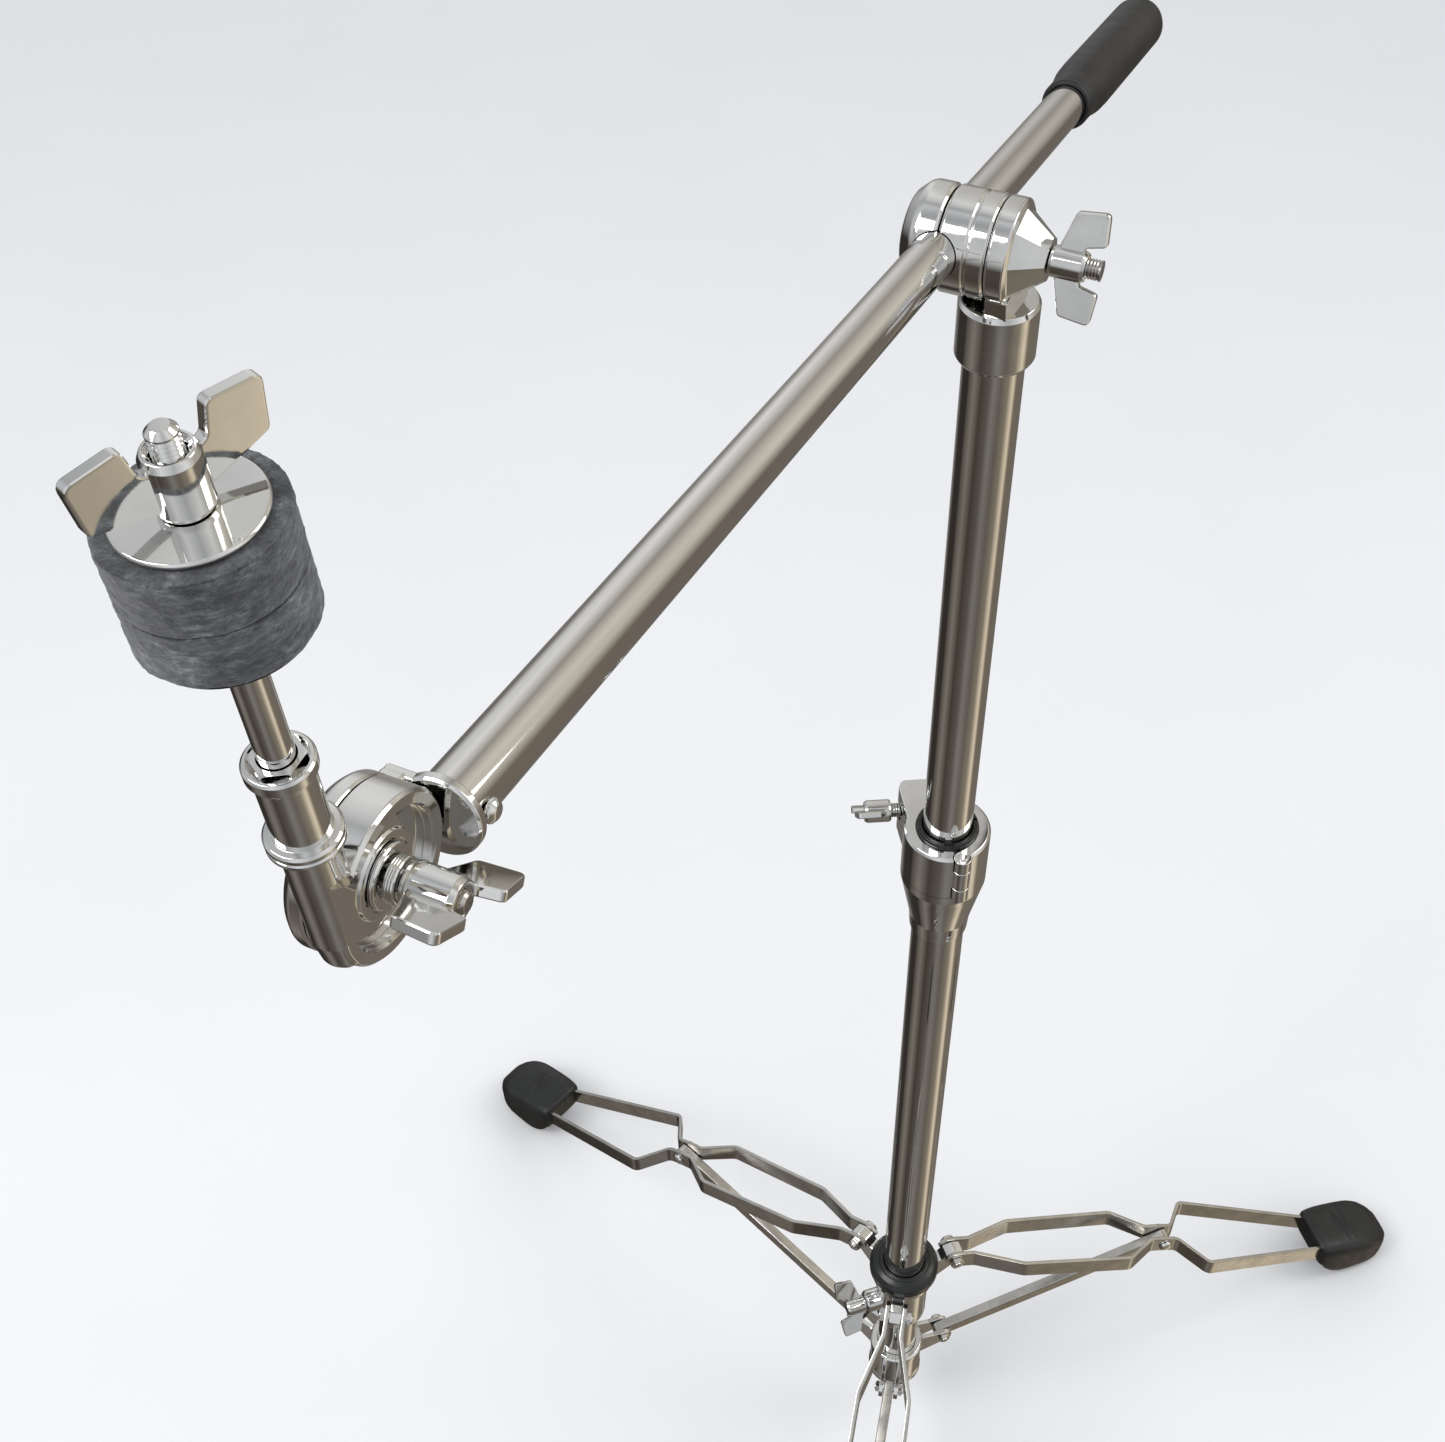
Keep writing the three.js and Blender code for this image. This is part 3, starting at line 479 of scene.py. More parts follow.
# ---------- leg collar ----------
def build_leg_collar():
    r, z = LEG_PIVOT
    collar = turned([
        (13.7, 166), (17, 166, 0.6), (18.2, 167.4, 1.0), (18.2, 211.5, 3), (21.7, 217, 3), (21.7, 225.2, 0.7),
        (20.9, 226, 0.4), (13.7, 226),
    ], closed=True)
    seam = tube(17.7, 19, 170.5, 171.5, 0.2)
    collar = cut(collar, seam)
    lugs = []
    for azimuth in LEG_AZIMUTHS.values():
        outline = [
            (15, 199.5, 0), (22.2, 201.5, 5), (r + 2.5, z - 7.4, 3.5), (r + 7.5, z - 3.5, 4),
            (r + 7.4, z + 4, 4),
            (r + 1, z + 7.5, 4), (r - 6, z + 6.4, 3), (r - 10, 226, 1), (15, 226, 0),
        ]
        lugs.append(moved(plate(outline, -4.2, 4.2, 0.8), turn(azimuth)))
    outward = turn(TRIPOD_SCREW_AZIMUTH) @ shift(z=TRIPOD_SCREW_Z) @ ALONG_X
    boss = moved(turned([(0, 12), (8, 12), (8, 26.4, 0.8), (7, 28, 0.8), (0, 28)]), outward)
    bore = rod(14.7, 160, 232, 0, ROUND)
    hole = moved(rod(3.35, 10, 32, 0), outward)
    collar = cut(join(collar, boss, *lugs), bore, hole)
    place("leg_collar_skin", collar, STAND, CHROME, "leg_collar", "polished_chrome", "leg_collar")

    ring = turned([
        (14.7, 226.3, 0.3), (23.3, 226.3, 0.6), (24, 227.2, 0.6), (24, 233.5, 1.6), (21.6, 236.6, 2.2),
        (18.2, 238.5, 1),
        (17.2, 237.8, 0.6), (16.4, 238.2, 0.4), (14.7, 238.2, 0.4),
    ], closed=True)
    place("leg_collar_bushing_skin", ring, STAND, PLASTIC, "leg_collar", "black_plastic",
          "leg_collar_bushing")
    for name, azimuth in LEG_AZIMUTHS.items():
        place(f"leg_{name}_pivot_bolt_skin", bolt(7.8, 3, 5, 3), leg_place(azimuth) @ shift(r, 0, z), CHROME,
              "leg_collar", "polished_chrome", f"leg_{name}_pivot_bolt")
    screw = join(threaded(3, 14.6, 31.5), moved(wing_head(), turn(35) @ shift(z=28.3)))
    place("tripod_wing_screw_skin", screw, TRIPOD_SCREW, CHROME, "tripod_wing", "polished_chrome",
          "tripod_wing_screw")


# ---------- legs ----------
def leg_height(r):
    (ra, za), (rb, zb) = (LEG_PIVOT, LEG_WAIST) if r < LEG_WAIST[0] else (LEG_WAIST, LEG_TIP)
    return za + (zb - za) * (r - ra) / (rb - ra)


def strip_line(side):
    plan = [
        (29.3, 6, 0), (52.3, 6, 9), (88, 17.5, 14), (178, 19.5, 10), (203.1, 5.5, 8), (227.1, 5.5, 7),
        (246, 26.5, 7),
        (368, 14, 12), (384, 14, 0),
    ]
    line = rounded([(r, side * w, bend) for r, w, bend in plan], closed=False)
    dense = []
    for a, b in zip(line, line[1:]):
        count = max(1, int((b - a).length / 5))
        dense += [a.lerp(b, k / count) for k in range(count)]
    return dense + [line[-1]]


def build_strip(side):
    """A flat bar on edge, bent along its plan, sloping with the leg, with rounded rims and a round end."""
    line = strip_line(side)
    half_t = STRIP_THICKNESS / 2
    half_h = STRIP_HEIGHT / 2 / math.cos(29 * DEG)
    rim = 0.7
    section = []
    for u, v in ((1, 1), (-1, 1), (-1, -1), (1, -1)):
        for k in range(3):
            t = (k / 2 if u * v > 0 else 1 - k / 2) * 90 * DEG
            section.append((u * (half_t - rim + rim * math.cos(t)), v, rim - rim * math.sin(t)))
    start = line[0].x
    rings = []
    for i, point in enumerate(line):
        ahead = (line[min(i + 1, len(line) - 1)] - line[max(i - 1, 0)]).normalized()
        normal = Vector((-ahead.y, ahead.x))
        reach = min((point.x - start) / half_h, 1)
        tall = half_h * max(math.sqrt(1 - (1 - reach) ** 2), 0.12)
        ring = []
        for across, up, down in section:
            r = point.x + normal.x * across
            w = point.y + normal.y * across
            ring.append((r, w, leg_height(r) + up * (tall - min(down, tall))))
        rings.append(ring)
    bm = bmesh.new()
    rows = skin(bm, rings)
    bm.faces.new(rows[0])
    bm.faces.new(rows[-1])
    return as_object("strip", bm)


def build_foot():
    """A moulded rubber block that fans out to a blunt point, with two raised ribs across its top."""
    stations = [
        # along the leg, half width, underside, top
        (364, 17.5, 27, 49), (368, 20.5, 21, 50), (376, 22.2, 9, 49.5), (384, 22.8, 2.5, 48),
        (392, 23, 0, 45.8),
        (402, 23, 0, 42.8), (412, 22.6, 0, 39), (421, 20.5, 0, 34), (428, 16.5, 0, 28.5),
        (433, 11.5, 1.5, 23),
        (436, 6.5, 4, 17), (437, 2, 7.5, 12),
    ]
    steps = 90
    rings = []
    for k in range(steps + 1):
        r = stations[0][0] + (stations[-1][0] - stations[0][0]) * (1 - (1 - k / steps) ** 1.25)
        j = max(i for i in range(len(stations) - 1) if stations[i][0] <= r + 1e-6)
        a, b = stations[j], stations[j + 1]
        before, after = stations[max(j - 1, 0)], stations[min(j + 2, len(stations) - 1)]
        t = (r - a[0]) / (b[0] - a[0])
        values = []
        for c in (1, 2, 3):
            p0, p1, p2, p3 = before[c], a[c], b[c], after[c]
            cubic = 3 * (p1 - p2) + p3 - p0
            square = 2 * p0 - 5 * p1 + 4 * p2 - p3
            values.append(p1 + 0.5 * t * (p2 - p0 + t * (square + t * cubic)))
        half, low, high = values
        shrink = 1 - 0.25 * max(0, 1 - (r - 364) / 3) ** 2
        middle, rise = (low + high) / 2, (high - low) / 2 * shrink
        ring = []
        for m in range(FINE):
            angle = 2 * math.pi * m / FINE
            c, s = math.cos(angle), math.sin(angle)
            x = abs(c) ** 0.42 * math.copysign(1, c)
            y = abs(s) ** 0.42 * math.copysign(1, s)
            w = half * shrink * x
            z = middle + rise * y
            if s > 0 and abs(w) < 13:
                fade = min(1, (13 - abs(w)) / 3)
                for centre in (389.5, 396.5):
                    z += 1.5 * math.exp(-((r - centre - 0.012 * w * w) / 1.25) ** 2) * fade
            ring.append((r, w, max(z, 0)))
        rings.append(ring)
    bm = bmesh.new()
    rows = skin(bm, rings)
    bm.faces.new(rows[0])
    bm.faces.new(rows[-1])
    return as_object("foot", bm)


def build_waist_rivet(side):
    rivet = turned([(0, 4), (3, 4), (3, 7.2), (5, 7.2, 0.3), (5, 8.1, 0.5), (3.6, 9.5, 1.4), (0, 9.9)], FINE)
    return moved(rivet, turn(-90 if side > 0 else 90, "X"))


def build_legs():
    for name, azimuth in LEG_AZIMUTHS.items():
        here = leg_place(azimuth)
        body = f"leg_{name}"
        for label, side in (("left", 1), ("right", -1)):
            place(f"{body}_strip_{label}_skin", build_strip(side), here, STEEL, body, "plated_steel",
                  f"{body}_strip_{label}")
            place(f"{body}_waist_rivet_{label}_skin", build_waist_rivet(side),
                  here @ shift(LEG_WAIST[0], 0, LEG_WAIST[1]),
                  CHROME, body, "polished_chrome", f"{body}_waist_rivet_{label}")
        place(f"{body}_foot_skin", build_foot(), here, FOOT_RUBBER, body, "foot_rubber", f"{body}_foot",
              crease=50)


def build_braces():
    dr = LEG_WAIST[0] - BRACE_PIN[0]
    dz = LEG_WAIST[1] - BRACE_PIN[1]
    length = math.hypot(dr, dz)
    end = 5.75
    for name, azimuth in LEG_AZIMUTHS.items():
        outline = [(-end, -end, end), (length + end, -end, end), (length + end, end, end), (-end, end, end)]
        bar = plate(outline, -3.5, 3.5, 1.1)
        channel = plate([(9, -9), (length - 9, -9), (length - 9, 4.2, 0.8), (9, 4.2, 0.8)], -2, 2, 0.3)
        hole = moved(rod(2.9, -10, 10, 0), ALONG_Y)
        slope = turn(-math.degrees(math.atan2(dz, dr)), "Y")
        here = leg_place(azimuth) @ shift(BRACE_PIN[0], 0, BRACE_PIN[1]) @ slope
        place(f"{name}_brace_skin", cut(bar, channel, hole), here, STEEL, f"brace_{name}", "plated_steel",
              f"{name}_brace")


# ---------- height clamp ----------
def sector(start, stop, low, high):
    count = math.ceil((stop - start) / 20)
    points = [(0, 0)]
    for k in range(count + 1):
        angle = (start + (stop - start) * k / count) * DEG
        points.append((60 * math.cos(angle), 60 * math.sin(angle)))
    return plate(points, low, high, 0, upright=False)


def clamp_ring(low, high):
    return turned([(15.4, low), (22.5, low), (22.5, high - 1.6, 0.8), (21.2, high, 0.9), (17.4, high, 0.4),
                   (15.4, high)],
                  closed=True)


def build_clamp():
    low, high = CLAMP_SPLIT, CLAMP_TOP
    hinge = shift(21.5 * math.cos(CLAMP_HINGE_AZIMUTH * DEG), 21.5 * math.sin(CLAMP_HINGE_AZIMUTH * DEG))

    def knuckle(bottom, top, extra=0, edge=0.5):
        return moved(rod(4.6 + extra, bottom, top, edge, FINE), hinge)

    def ear(y_low, y_high):
        block = plate([(8, y_low), (33, y_low, 1.6), (33, y_high, 2.4), (8, y_high, 0)], low, high, 0.9,
                      upright=False)
        return moved(block, turn(CLAMP_EAR_AZIMUTH))

    def ear_hole(radius):
        return moved(rod(radius, -30, 40, 0), STAND.inverted() @ CLAMP_SCREW)

    sleeve = turned([
        (13.4, 640), (15.2, 640, 0.4), (15.7, 641, 0.4), (16.4, 652, 8), (21.7, 680.5, 6), (22.5, 684.5, 2),
        (22.5, 690.2, 0), (13.4, 690.2, 0),
    ], closed=True)
    half = common(clamp_ring(low - 1, high), sector(CLAMP_HINGE_AZIMUTH + 2, CLAMP_EAR_AZIMUTH - 2.5, low - 3,
                                                    high + 5))
    body = join(sleeve, half, ear(-9, -0.8), knuckle(low - 1, low + 8.7), knuckle(high - 8.7, high))
    body = cut(
        body, knuckle(low + 8.7, high - 8.7, 0.5, 0), rod(16.4, low, high + 5, 0, ROUND),
        moved(rod(2.3, low - 5, high + 5, 0), hinge), ear_hole(4.4), rod(14.6, 630, low + 5, 0, ROUND),
        moved(plate([(13, 641.5), (30, 641.5), (30, 652, 1.2), (13, 652, 1.2)], -1.2, 1.2, 0.1), turn(-62)),
        moved(rod(1.5, 15, 30, 0), turn(-92) @ shift(z=664) @ ALONG_X),
    )
    place("height_clamp_skin", body, STAND, CHROME, "column", "polished_chrome", "height_clamp")

    flank = plate([
        (8, 0.8), (33, 0.8, 1.4), (33, 20, 3), (27, 22, 3), (14, 20.5, 2), (8, 20),
    ], low, high, 0.9, upright=False)
    jaw = join(
        common(clamp_ring(low, high), sector(CLAMP_EAR_AZIMUTH + 2.5, CLAMP_HINGE_AZIMUTH + 358, low - 3,
                                             high + 5)),
        moved(flank, turn(CLAMP_EAR_AZIMUTH)), knuckle(low + 9, high - 9),
    )
    jaw = cut(
        jaw, rod(16.4, low - 5, high + 5, 0, ROUND), moved(rod(2.3, low - 5, high + 5, 0), hinge),
        ear_hole(5.4),
        knuckle(low - 1, low + 9, 0.5, 0), knuckle(high - 9, high + 1, 0.5, 0),
    )
    place("clamp_jaw_skin", jaw, STAND, CHROME, "clamp_jaw", "polished_chrome", "clamp_jaw")
    pin = moved(turned([(0, low - 3), (2, low - 3, 0.4), (2, high + 0.1), (2.6, high + 0.1, 0.2),
                        (2.2, high + 0.6, 0.3),
                        (0, high + 0.6)], FINE), hinge)
    place("clamp_hinge_pin_skin", pin, STAND, CHROME, "column", "polished_chrome", "clamp_hinge_pin")

    bushing = turned([(13, 694.3, 0.3), (16.1, 694.3, 0.4), (16.1, 723.6, 0.5), (15.4, 725, 0.8),
                      (13.5, 725, 0.5),
                      (13, 724, 0.3)], closed=True)
    slit = moved(plate([(0, -0.6), (30, -0.6), (30, 0.6), (0, 0.6)], 690, 732, 0, upright=False), turn(20))
    notch = moved(plate([(0, -2.4), (30, -2.4), (30, 2.4), (0, 2.4)], 722.6, 732, 0.2, upright=False),
                  turn(-80))
    place("height_bushing_skin", cut(bushing, slit, notch), STAND, PLASTIC, "swivel", "black_plastic",
          "height_bushing")

    screw = join(threaded(3.9, -8, 29, 1.25), moved(wing_head(), turn(45) @ shift(z=26)))
    place("height_wing_screw_skin", screw, CLAMP_SCREW, CHROME, "height_wing", "polished_chrome",
          "height_wing_screw")


# ---------- upper column and boom ratchet ----------
def build_upper_column():
    inner, outer, bottom, top = UPPER_TUBE
    place("upper_tube_skin", tube(inner, outer, bottom, top), STAND, TUBE, "upper_column", "polished_chrome",
          "upper_tube")

    drop, rise = 1021 - HUB_Z, 1048.5 - HUB_Z
    cup = turned([
        (0, drop), (14.6, drop, 0.3), (15.2, drop, 0.4), (16.3, drop + 1.8, 0.7), (16.3, rise - 3, 0),
        (16.3, rise - 2, 0.8),
        (15, rise, 0.6), (0, rise),
    ])
    neck = plate([(-11, drop + 10), (11, drop + 10), (15.5, -13.5, 0), (-15.5, -13.5, 0)], -7, 2, 0.6)
    disc = moved(turned([
        (0, -6.4), (18.4, -6.4, 0.5), (HUB_RADIUS, -5.2, 1), (HUB_RADIUS, 1.1, 0.7), (HUB_RADIUS - 1, 2, 0.4),
        (0, 2),
    ]), ALONG_Y)
    facets, twist = 8, 11
    profile = [(0, -18), (8.6, -18, 0.5), (17.9, -6, 0.3), (17.9, -5, 0), (0, -5)]
    nose = moved(turned(profile, facets), ALONG_Y @ turn(twist))
    socket = cut(
        join(disc, nose, cup, neck), rod(outer + 0.3, drop - 1, 1043 - HUB_Z + 0.3, 0, ROUND),
        moved(rod(4.4, -30, 10, 0), ALONG_Y), moved(rod(HUB_RADIUS + 0.5, 2.001, 30, 0, ROUND), ALONG_Y),
    )
    place("boom_socket_skin", socket, HUB, CHROME, "upper_column", "polished_chrome", "boom_socket",
          crease=20)


def build_boom_head():
    split = BOOM_OFFSET
    across = shift(y=split) @ ALONG_X
    middle = moved(turned([
        (0, 2.3), (HUB_RADIUS - 0.9, 2.3, 0.4), (HUB_RADIUS, 3.2, 0.7), (HUB_RADIUS, 9, 0.5),
        (HUB_RADIUS - 0.6, 9.6, 0.3),
        (HUB_RADIUS - 0.6, 10.4, 0.3), (HUB_RADIUS, 11, 0.5), (HUB_RADIUS, split - 1.4, 0.8),
        (HUB_RADIUS - 1.1, split - 0.3),
        (0, split - 0.3),
    ]), ALONG_Y)
    middle = cut(middle, moved(rod(9.3, -60, 60, 0, ROUND), across),
                 moved(rod(13.2, -5, 5, 0, ROUND), across),
                 moved(rod(4.4, 0, split, 0), ALONG_Y))
    place("boom_clamp_half_skin", middle, BOOM, CHROME, "boom_head", "polished_chrome", "boom_clamp_half")

    cap = moved(turned([
        (0, split + 0.3), (HUB_RADIUS - 1.1, split + 0.3, 0.4), (HUB_RADIUS, split + 1.4, 0.8),
        (HUB_RADIUS, split + 9.5, 5), (HUB_RADIUS - 5.5, split + 15.5, 4.5), (0, split + 15.5),
    ]), ALONG_Y)
    cap = cut(cap, moved(rod(9.3, -60, 60, 0, ROUND), across), moved(rod(13.2, -5, 5, 0, ROUND), across))
    place("boom_clamp_cap_skin", cap, BOOM, CHROME, "boom_head", "polished_chrome", "boom_clamp_cap")

    eye = join(moved(rod(12.7, -4.2, 4.2, 0.5, ROUND), across),
               moved(threaded(4, -38, split - 10, 1.25), ALONG_Y))
    eye = cut(eye, moved(rod(9.3, -60, 60, 0, ROUND), across))
    place("boom_eye_bolt_skin", eye, BOOM, THREAD, "boom_head", "plated_steel", "boom_eye_bolt")
    nose_end, wing_angle = -18.3, 71
    nut = moved(wing_head(4.3), turn(wing_angle))
    place("boom_wing_nut_skin", nut, HUB @ shift(y=nose_end) @ turn(90, "X"), CHROME, "boom_wing",
          "polished_chrome",
          "boom_wing_nut")


def build_boom():
    grip_low, grip_high, fat = 162, 300, 13
    start, end = BOOM_ENDS
    pin = start + 4.4
    pipe = cut(tube(BOOM_BORE, BOOM_RADIUS, start, end, 0.5),
               moved(rod(1.9, -12, 0, 0), shift(z=pin) @ ALONG_Y))
    place("boom_tube_skin", pipe, BORE, TUBE, "boom_arm", "polished_chrome", "boom_tube")

    grip = turned([
        (0, grip_low), (10.4, grip_low, 0.5), (11.2, grip_low + 1.2, 0.6), (11.2, grip_low + 3.6, 0.3),
        (10.8, grip_low + 4.2, 0.3), (11.2, grip_low + 4.8, 0.3), (11.3, grip_low + 14, 3),
        (fat - 0.3, grip_low + 24, 6),
        (fat, grip_low + 34, 3), (fat, grip_high - 9, 6), (11.2, grip_high - 2.6, 4), (7, grip_high, 3),
        (0, grip_high),
    ])
    hollow = rod(9.3, grip_low - 5, BOOM_ENDS[1] + 1, 0, ROUND)
    place("boom_grip_skin", cut(grip, hollow), BORE, GRIP_RUBBER, "boom_arm", "grip_rubber", "boom_grip")

    rim, low, far = TILTER_RADIUS, RATCHET_SEAM[1], RATCHET_FAR
    disc = moved(turned([
        (0, low), (rim - 0.5, low, 0.2), (rim, low + 0.5, 0.4), (rim, far - 4.2, 2),
        (rim - 2.4, far - 1.5, 4),
        (12.5, far, 6), (9.5, far, 0.3), (9, far - 0.6, 0.3), (0, far - 0.6),
    ]), shift(x=TILTER_S) @ ALONG_Y)
    back, front = start - 3.7, start - 0.3
    neck = moved(turned([
        (0, back), (10.8, back, 0.3), (11.5, back + 0.7, 0.5), (11.5, front - 0.7, 0.5), (10.8, front, 0.3),
        (BOOM_BORE - 0.3, front), (BOOM_BORE - 0.3, start + 22, 0.5), (0, start + 22),
    ]), shift(y=BOOM_OFFSET) @ ALONG_X)
    bridge = plate([
        (TILTER_S + 8, -11, 0), (back, -9.5, 2), (front, -8.5, 1), (front, 8.5, 1), (back, 9.5, 2),
        (TILTER_S + 8, 11, 0),
    ], low + 0.1, far - 1.5, 1.2)
    web = plate([(back + 0.1, -9, 1), (front, -9, 1), (front, 9, 1), (back + 0.1, 9, 1)], BOOM_OFFSET,
                far - 1.5, 0.7)
    socket = cut(
        join(disc, neck, bridge, web), moved(rod(3.4, 0, 60, 0), shift(x=TILTER_S) @ ALONG_Y),
        moved(rod(1.9, -20, -3, 0), shift(x=pin, y=BOOM_OFFSET) @ ALONG_Y),
    )
    place("tilter_socket_skin", socket, BOOM, CHROME, "boom_arm", "polished_chrome", "tilter_socket")
    rivet = turned([(0, -11.9), (2, -11.7, 1.4), (3.4, -10.5, 0.8), (3.4, -9.3, 0.2), (1.6, -9.3),
                    (1.6, -3.5), (0, -3.5)],
                   FINE)
    place("boom_end_rivet_skin", rivet, BOOM @ shift(x=pin, y=BOOM_OFFSET) @ ALONG_Y, CHROME, "boom_arm",
          "polished_chrome", "boom_end_rivet")


# ---------- cymbal tilter ----------
def felt_pad(low, seed, crown):
    """A soft wool washer: rounded edges, a slightly hollow side and an uneven pressed surface."""
    high = low + FELT_HEIGHT
    outline = [(FELT_BORE, low, 0.6), (FELT_RADIUS, low, 2.6)]
    count = 22
    for k in range(1, count):
        outline.append((FELT_RADIUS, low + FELT_HEIGHT * k / count, 0))
    outline += [(FELT_RADIUS, high, crown), (FELT_BORE, high, 0.6)]
    pad = turned(outline, 160, closed=True)
    for vert in pad.data.vertices:
        here = vert.co.copy()
        r = math.hypot(here.x, here.y)
        if r > FELT_RADIUS - 4:
            deep = Vector((here.x * 0.16, here.y * 0.16, here.z * 0.3 + seed * 9.7))
            fine = Vector((here.x * 0.9, here.y * 0.9, here.z * 1.5 + seed * 5.1))
            push = 0.28 * noise.fractal(deep, 1.0, 2.0, 3) + 0.16 * noise.fractal(fine, 0.9, 2.1, 3) - 0.12
            vert.co.x += here.x / r * push
            vert.co.y += here.y / r * push
            if r > FELT_RADIUS - 3:
                inward = min(here.z - low, high - here.z, 3) / 3
                vert.co.z += 0.18 * (1 - inward) * noise.noise(fine)
    return pad


def spring(radius, wire, low, high, turns):
    """A coil spring along Z, its turns rising evenly from end to end."""
    steps = turns * 40
    rings = []
    for k in range(steps + 1):
        t = k / steps
        angle = 2 * math.pi * turns * t
        z = low + wire + (high - low - 2 * wire) * t
        ring = []
        for m in range(12):
            a = 2 * math.pi * m / 12
            r = radius + wire * math.cos(a)
            ring.append((r * math.cos(angle), r * math.sin(angle), z + wire * math.sin(a)))
        rings.append(ring)
    bm = bmesh.new()
    rows = skin(bm, rings)
    bm.faces.new(rows[0])
    bm.faces.new(rows[-1])
    return as_object("spring", bm)


def build_tilter():
    rim, near, high = TILTER_RADIUS, RATCHET_NEAR, RATCHET_SEAM[0]
    foot, mouth = -12, 60.3
    disc = moved(turned([
        (0, near), (rim - 0.9, near, 0.5), (rim, near + 0.9, 0.6), (rim, high - 0.5, 0.4),
        (rim - 0.5, high, 0.2), (0, high),
    ]), ALONG_Y)
    barrel = moved(turned([
        (0, foot), (3.2, foot, 2), (5.6, foot + 4, 3), (6.6, foot + 12, 4), (6.6, 32.8, 0.2),
        (8.1, 33.1, 0.3),
        (8.7, 33.7, 0.4), (8.7, 34.6, 0.4), (8.1, 35, 0.3), (8.7, 35.4, 0.4), (8.7, 36.5, 0.4),
        (8.1, 37.1, 0.3),
        (6.6, 37.4, 0.3), (6.6, mouth - 4.6, 0.3), (7.3, mouth - 4.2, 0.3), (7.3, mouth - 3.4, 0.2),
        (7.8, mouth - 3.1, 0.3),
        (7.8, mouth - 0.6, 0.4), (7.2, mouth, 0.3), (0, mouth),
    ]), shift(x=ROD_X, y=ROD_Y))
    square = [(-40, -40, 0), (40, -40, 0), (40, 23, 0), (-40, 23, 0)]
    cut(barrel, plate(square, high, 60, 0.02), plate(square, -20, near, 0.02))
    holder = cut(
        join(disc, barrel), moved(rod(4.3, 19.7, mouth + 1, 0), shift(x=ROD_X, y=ROD_Y)),
        moved(rod(6.6, mouth - 2.5, mouth + 1, 0), shift(x=ROD_X, y=ROD_Y)),
        moved(turned([(0, near - 5), (rim - 3.6, near - 5), (rim - 3.6, near + 0.2),
                      (rim - 4.2, near + 0.9, 0.4),
                      (rim - 4.2, near + 3, 0.3), (11.5, near + 3, 0.2), (11, near + 2.3, 0.2),
                      (0, near + 2.3)]), ALONG_Y),
        moved(rod(9.3, near, near + 3, 0.2), ALONG_Y), moved(rod(3.4, 0, 60, 0), ALONG_Y),
    )
    place("tilter_rod_holder_skin", holder, TILTER, CHROME, "tilter", "polished_chrome", "tilter_rod_holder")
    collar = cut(hex_head(6.2, mouth - 2.2, mouth + 1), rod(4.3, 0, mouth + 5, 0))
    place("rod_nut_skin", collar, ROD, CHROME, "tilter", "polished_chrome", "rod_nut")
    shaft = join(turned([(0, 20), (4, 20, 0.6), (4, ROD_SHOULDER, 0.4), (2.6, ROD_SHOULDER),
                         (0, ROD_SHOULDER)], FINE),
                 threaded(3, ROD_SHOULDER - 4, ROD_TOP, 1.0, 1.2))
    place("cymbal_rod_skin", shaft, ROD, CHROME, "tilter", "plated_steel", "cymbal_rod")

    level = ROD_SHOULDER + 0.3
    seat = turned([(3.3, level, 0.3), (15.4, level, 0.8), (16.6, level + 0.7, 0.5), (16.6, level + 1.2, 0.4),
                   (15.9, level + 1.8, 0.4), (3.3, level + 1.8, 0.3)], closed=True)
    place("seat_washer_skin", seat, ROD, PLASTIC, "tilter", "black_plastic", "seat_washer")
    level += 2.1
    sleeve_low = level
    for k, (name, crown) in enumerate((("lower_felt", 2.2), ("upper_felt", 3.4))):
        pad = place(f"{name}_pad", felt_pad(level, k + 1, crown), ROD, FELT, "tilter", "felt", name,
                    crease=80)
        level += FELT_HEIGHT + 0.3
    place("felt_sleeve_skin", tube(3.3, 5.3, sleeve_low, level - 0.3, 0.3, FINE), ROD, PLASTIC, "tilter",
          "black_plastic",
          "felt_sleeve")
    washer = turned([(3.3, level, 0.2), (14.1, level, 0.4), (14.6, level + 0.7, 0.6),
                     (14.1, level + 1.4, 0.4),
                     (3.3, level + 1.4, 0.2)], closed=True)
    place("top_washer_skin", washer, ROD, CHROME, "tilter", "polished_chrome", "top_washer")
    level += 1.7
    place("cymbal_wing_nut_skin", moved(wing_head(3.3, 0.92), turn(-21.3)), ROD @ shift(z=level), CHROME,
          "cymbal_wing", "polished_chrome", "cymbal_wing_nut")

    far = RATCHET_FAR + 0.3
    head = turned([(0, 30), (3, 30), (3, far), (6.2, far, 0.3), (6.5, far + 0.4, 0.3), (6.5, far + 1.2, 0.6),
                   (4.6, far + 2.5, 1.6), (0, far + 2.8)], FINE)
    screw = join(moved(threaded(3, -31, -1, 1.0, 0.8), turn(180, "X")), head)
    place("tilter_bolt_skin", screw, TILTER @ ALONG_Y, THREAD, "tilter", "plated_steel", "tilter_bolt")
    ring = turned([(3.3, 20.9, 0.2), (8, 20.9, 0.3), (8.5, 21.4, 0.4), (8.5, 22.2, 0.4), (8, 22.7, 0.3),
                   (3.3, 22.7, 0.2)],
                  FINE, closed=True)
    place("tilter_washer_skin", moved(ring, ALONG_Y), TILTER, CHROME, "tilter", "polished_chrome",
          "tilter_washer")
    place("tilter_spring_skin", moved(spring(5.3, 0.85, 16.65, 20.55, 3), ALONG_Y), TILTER, CHROME, "tilter",
          "polished_chrome", "tilter_spring")
    place("tilter_wing_nut_skin", moved(wing_head(3.3), turn(-34)), TILTER @ shift(y=16.3) @ turn(90, "X"),
          CHROME,
          "tilter_wing", "polished_chrome", "tilter_wing_nut")


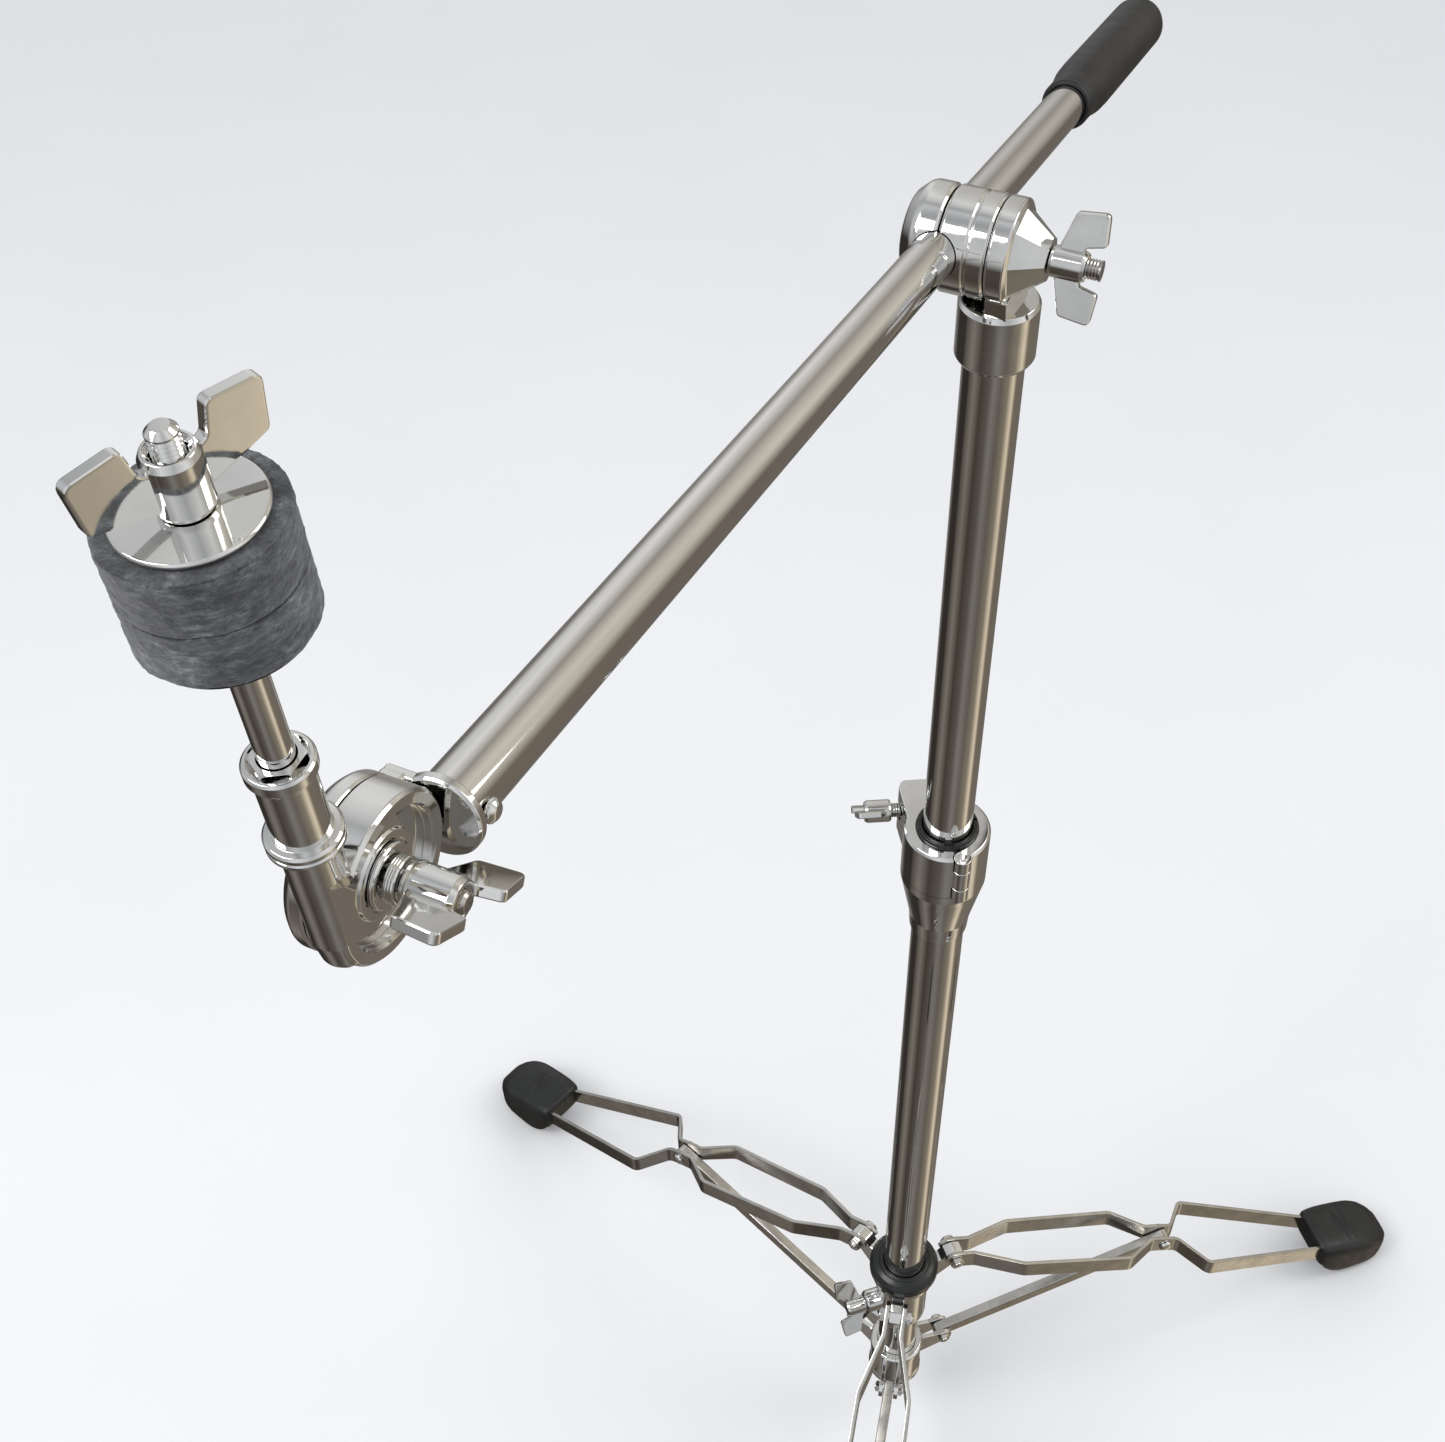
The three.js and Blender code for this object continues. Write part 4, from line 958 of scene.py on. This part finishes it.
# ---------- hidden inner part ----------
def dress_glide():
    """The glide sits inside the lower tube and keeps its CAD shape."""
    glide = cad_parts["tube_glide"]
    glide.data.materials.clear()
    glide.data.materials.append(PLASTIC)


build_column()
build_leg_collar()
build_legs()
build_braces()
build_clamp()
build_upper_column()
build_boom_head()
build_boom()
build_tilter()
dress_glide()


# ---------- camera, floor and light ----------
def build_camera():
    camera = bpy.data.objects.new("camera", bpy.data.cameras.new("camera"))
    bpy.context.scene.collection.objects.link(camera)
    camera.data.sensor_width = 36
    camera.data.lens = 1900 * 36 / 1445
    camera.data.clip_start = 0.02
    right = Vector((0.97798, 0.20716, -0.02526))
    up = Vector((-0.13731, 0.72986, 0.66967))
    back = Vector((0.15716, -0.65145, 0.74223))
    axes = Matrix((right, up, back)).transposed().to_4x4()
    camera.matrix_world = Matrix.Translation((0.03309, -0.6215, 1.42919)) @ axes
    bpy.context.scene.camera = camera


def build_floor():
    bm = bmesh.new()
    bmesh.ops.create_grid(bm, x_segments=40, y_segments=40, size=8)
    floor = as_object("floor", bm)
    floor.location.z = -COLUMN_BASE * MM - 0.0002
    g = Graph("studio_floor")
    tone = g.ramp(g.noise(3, 3), [(0.3, (0.86, 0.86, 0.865)), (0.7, (0.88, 0.88, 0.885))])
    floor.data.materials.append(g.set(Base_Color=tone, Roughness=g.spread(g.noise(9), 0.85, 0.95)))
    floor.visible_glossy = False


# Colours round the horizon by azimuth, from -180 to 180 degrees: below it and above it.
LOW_ROOM = [
    (0.0, (0.10, 0.085, 0.07)), (0.08, (0.30, 0.27, 0.24)), (0.16, (0.09, 0.075, 0.06)),
    (0.24, (0.16, 0.14, 0.125)),
    (0.29, (0.30, 0.28, 0.26)), (0.36, (0.20, 0.175, 0.15)), (0.44, (0.36, 0.31, 0.24)),
    (0.50, (1.1, 0.95, 0.72)),
    (0.54, (0.28, 0.23, 0.18)), (0.70, (0.22, 0.20, 0.18)), (0.80, (0.42, 0.40, 0.38)),
    (0.90, (0.05, 0.045, 0.04)),
]
HIGH_ROOM = [
    (0.0, (0.85, 0.87, 0.90)), (0.12, (0.55, 0.56, 0.58)), (0.22, (1.1, 1.12, 1.15)),
    (0.34, (0.70, 0.72, 0.75)),
    (0.46, (1.2, 1.2, 1.2)), (0.56, (0.62, 0.58, 0.50)), (0.64, (0.95, 0.90, 0.80)),
    (0.72, (0.48, 0.45, 0.40)),
    (0.80, (1.1, 1.1, 1.1)), (0.90, (0.60, 0.61, 0.63)), (1.0, (0.85, 0.87, 0.90)),
]


def build_room():
    """A soft white room for the floor. The metal mirrors a brown floor and pale walls with darker panels."""
    world = bpy.data.worlds.new("studio")
    world.use_nodes = True
    bpy.context.scene.world = world
    tree = world.node_tree
    make, link = tree.nodes.new, tree.links.new
    direction = make("ShaderNodeTexCoord").outputs["Generated"]
    parts = make("ShaderNodeSeparateXYZ")
    link(direction, parts.inputs[0])

    def math_node(operation, a, b=None):
        node = make("ShaderNodeMath")
        node.operation = operation
        for socket, value in zip(node.inputs, (a, b)):
            if isinstance(value, bpy.types.NodeSocket):
                link(value, socket)
            elif value is not None:
                socket.default_value = value
        return node.outputs[0]

    azimuth = math_node("MULTIPLY_ADD", math_node("ARCTAN2", parts.outputs["Y"], parts.outputs["X"]),
                        1 / (2 * math.pi))
    azimuth.node.inputs[2].default_value = 0.5

    def ramp(value, stops):
        node = make("ShaderNodeValToRGB")
        fill_ramp(node.color_ramp, stops)
        link(value, node.inputs["Fac"])
        return node.outputs["Color"]

    low = ramp(azimuth, LOW_ROOM)
    high = ramp(azimuth, HIGH_ROOM)
    rise = make("ShaderNodeMapRange")
    rise.inputs["From Min"].default_value = -0.25
    rise.inputs["From Max"].default_value = 0.12
    link(parts.outputs["Z"], rise.inputs["Value"])
    room = make("ShaderNodeMix")
    room.data_type = "RGBA"
    link(rise.outputs[0], room.inputs["Factor"])
    link(low, room.inputs["A"])
    link(high, room.inputs["B"])
    pick = make("ShaderNodeMix")
    pick.data_type = "RGBA"
    link(make("ShaderNodeLightPath").outputs["Is Glossy Ray"], pick.inputs["Factor"])
    pick.inputs["A"].default_value = (0.93, 0.95, 0.98, 1)
    link(room.outputs["Result"], pick.inputs["B"])
    background = make("ShaderNodeBackground")
    link(pick.outputs["Result"], background.inputs["Color"])
    background.inputs["Strength"].default_value = 0.75
    link(background.outputs[0], tree.nodes["World Output"].inputs["Surface"])


def soft_light(name, position, target, size, power, color=(1, 1, 1)):
    data = bpy.data.lights.new(name, "AREA")
    data.shape = "RECTANGLE"
    data.size, data.size_y = size
    data.energy = power
    data.color = color
    light = bpy.data.objects.new(name, data)
    bpy.context.scene.collection.objects.link(light)
    light.location = position
    light.rotation_euler = (Vector(target) - Vector(position)).to_track_quat("-Z", "Y").to_euler()


build_camera()
build_floor()
build_room()
soft_light("key", (-1.6, -1.2, 2.8), (0, 0, 0.4), (1.4, 1.4), 38)
soft_light("fill", (1.8, 0.6, 2.2), (0, 0, 0.5), (1.0, 1.6), 14)
bpy.context.scene.view_settings.view_transform = "Standard"
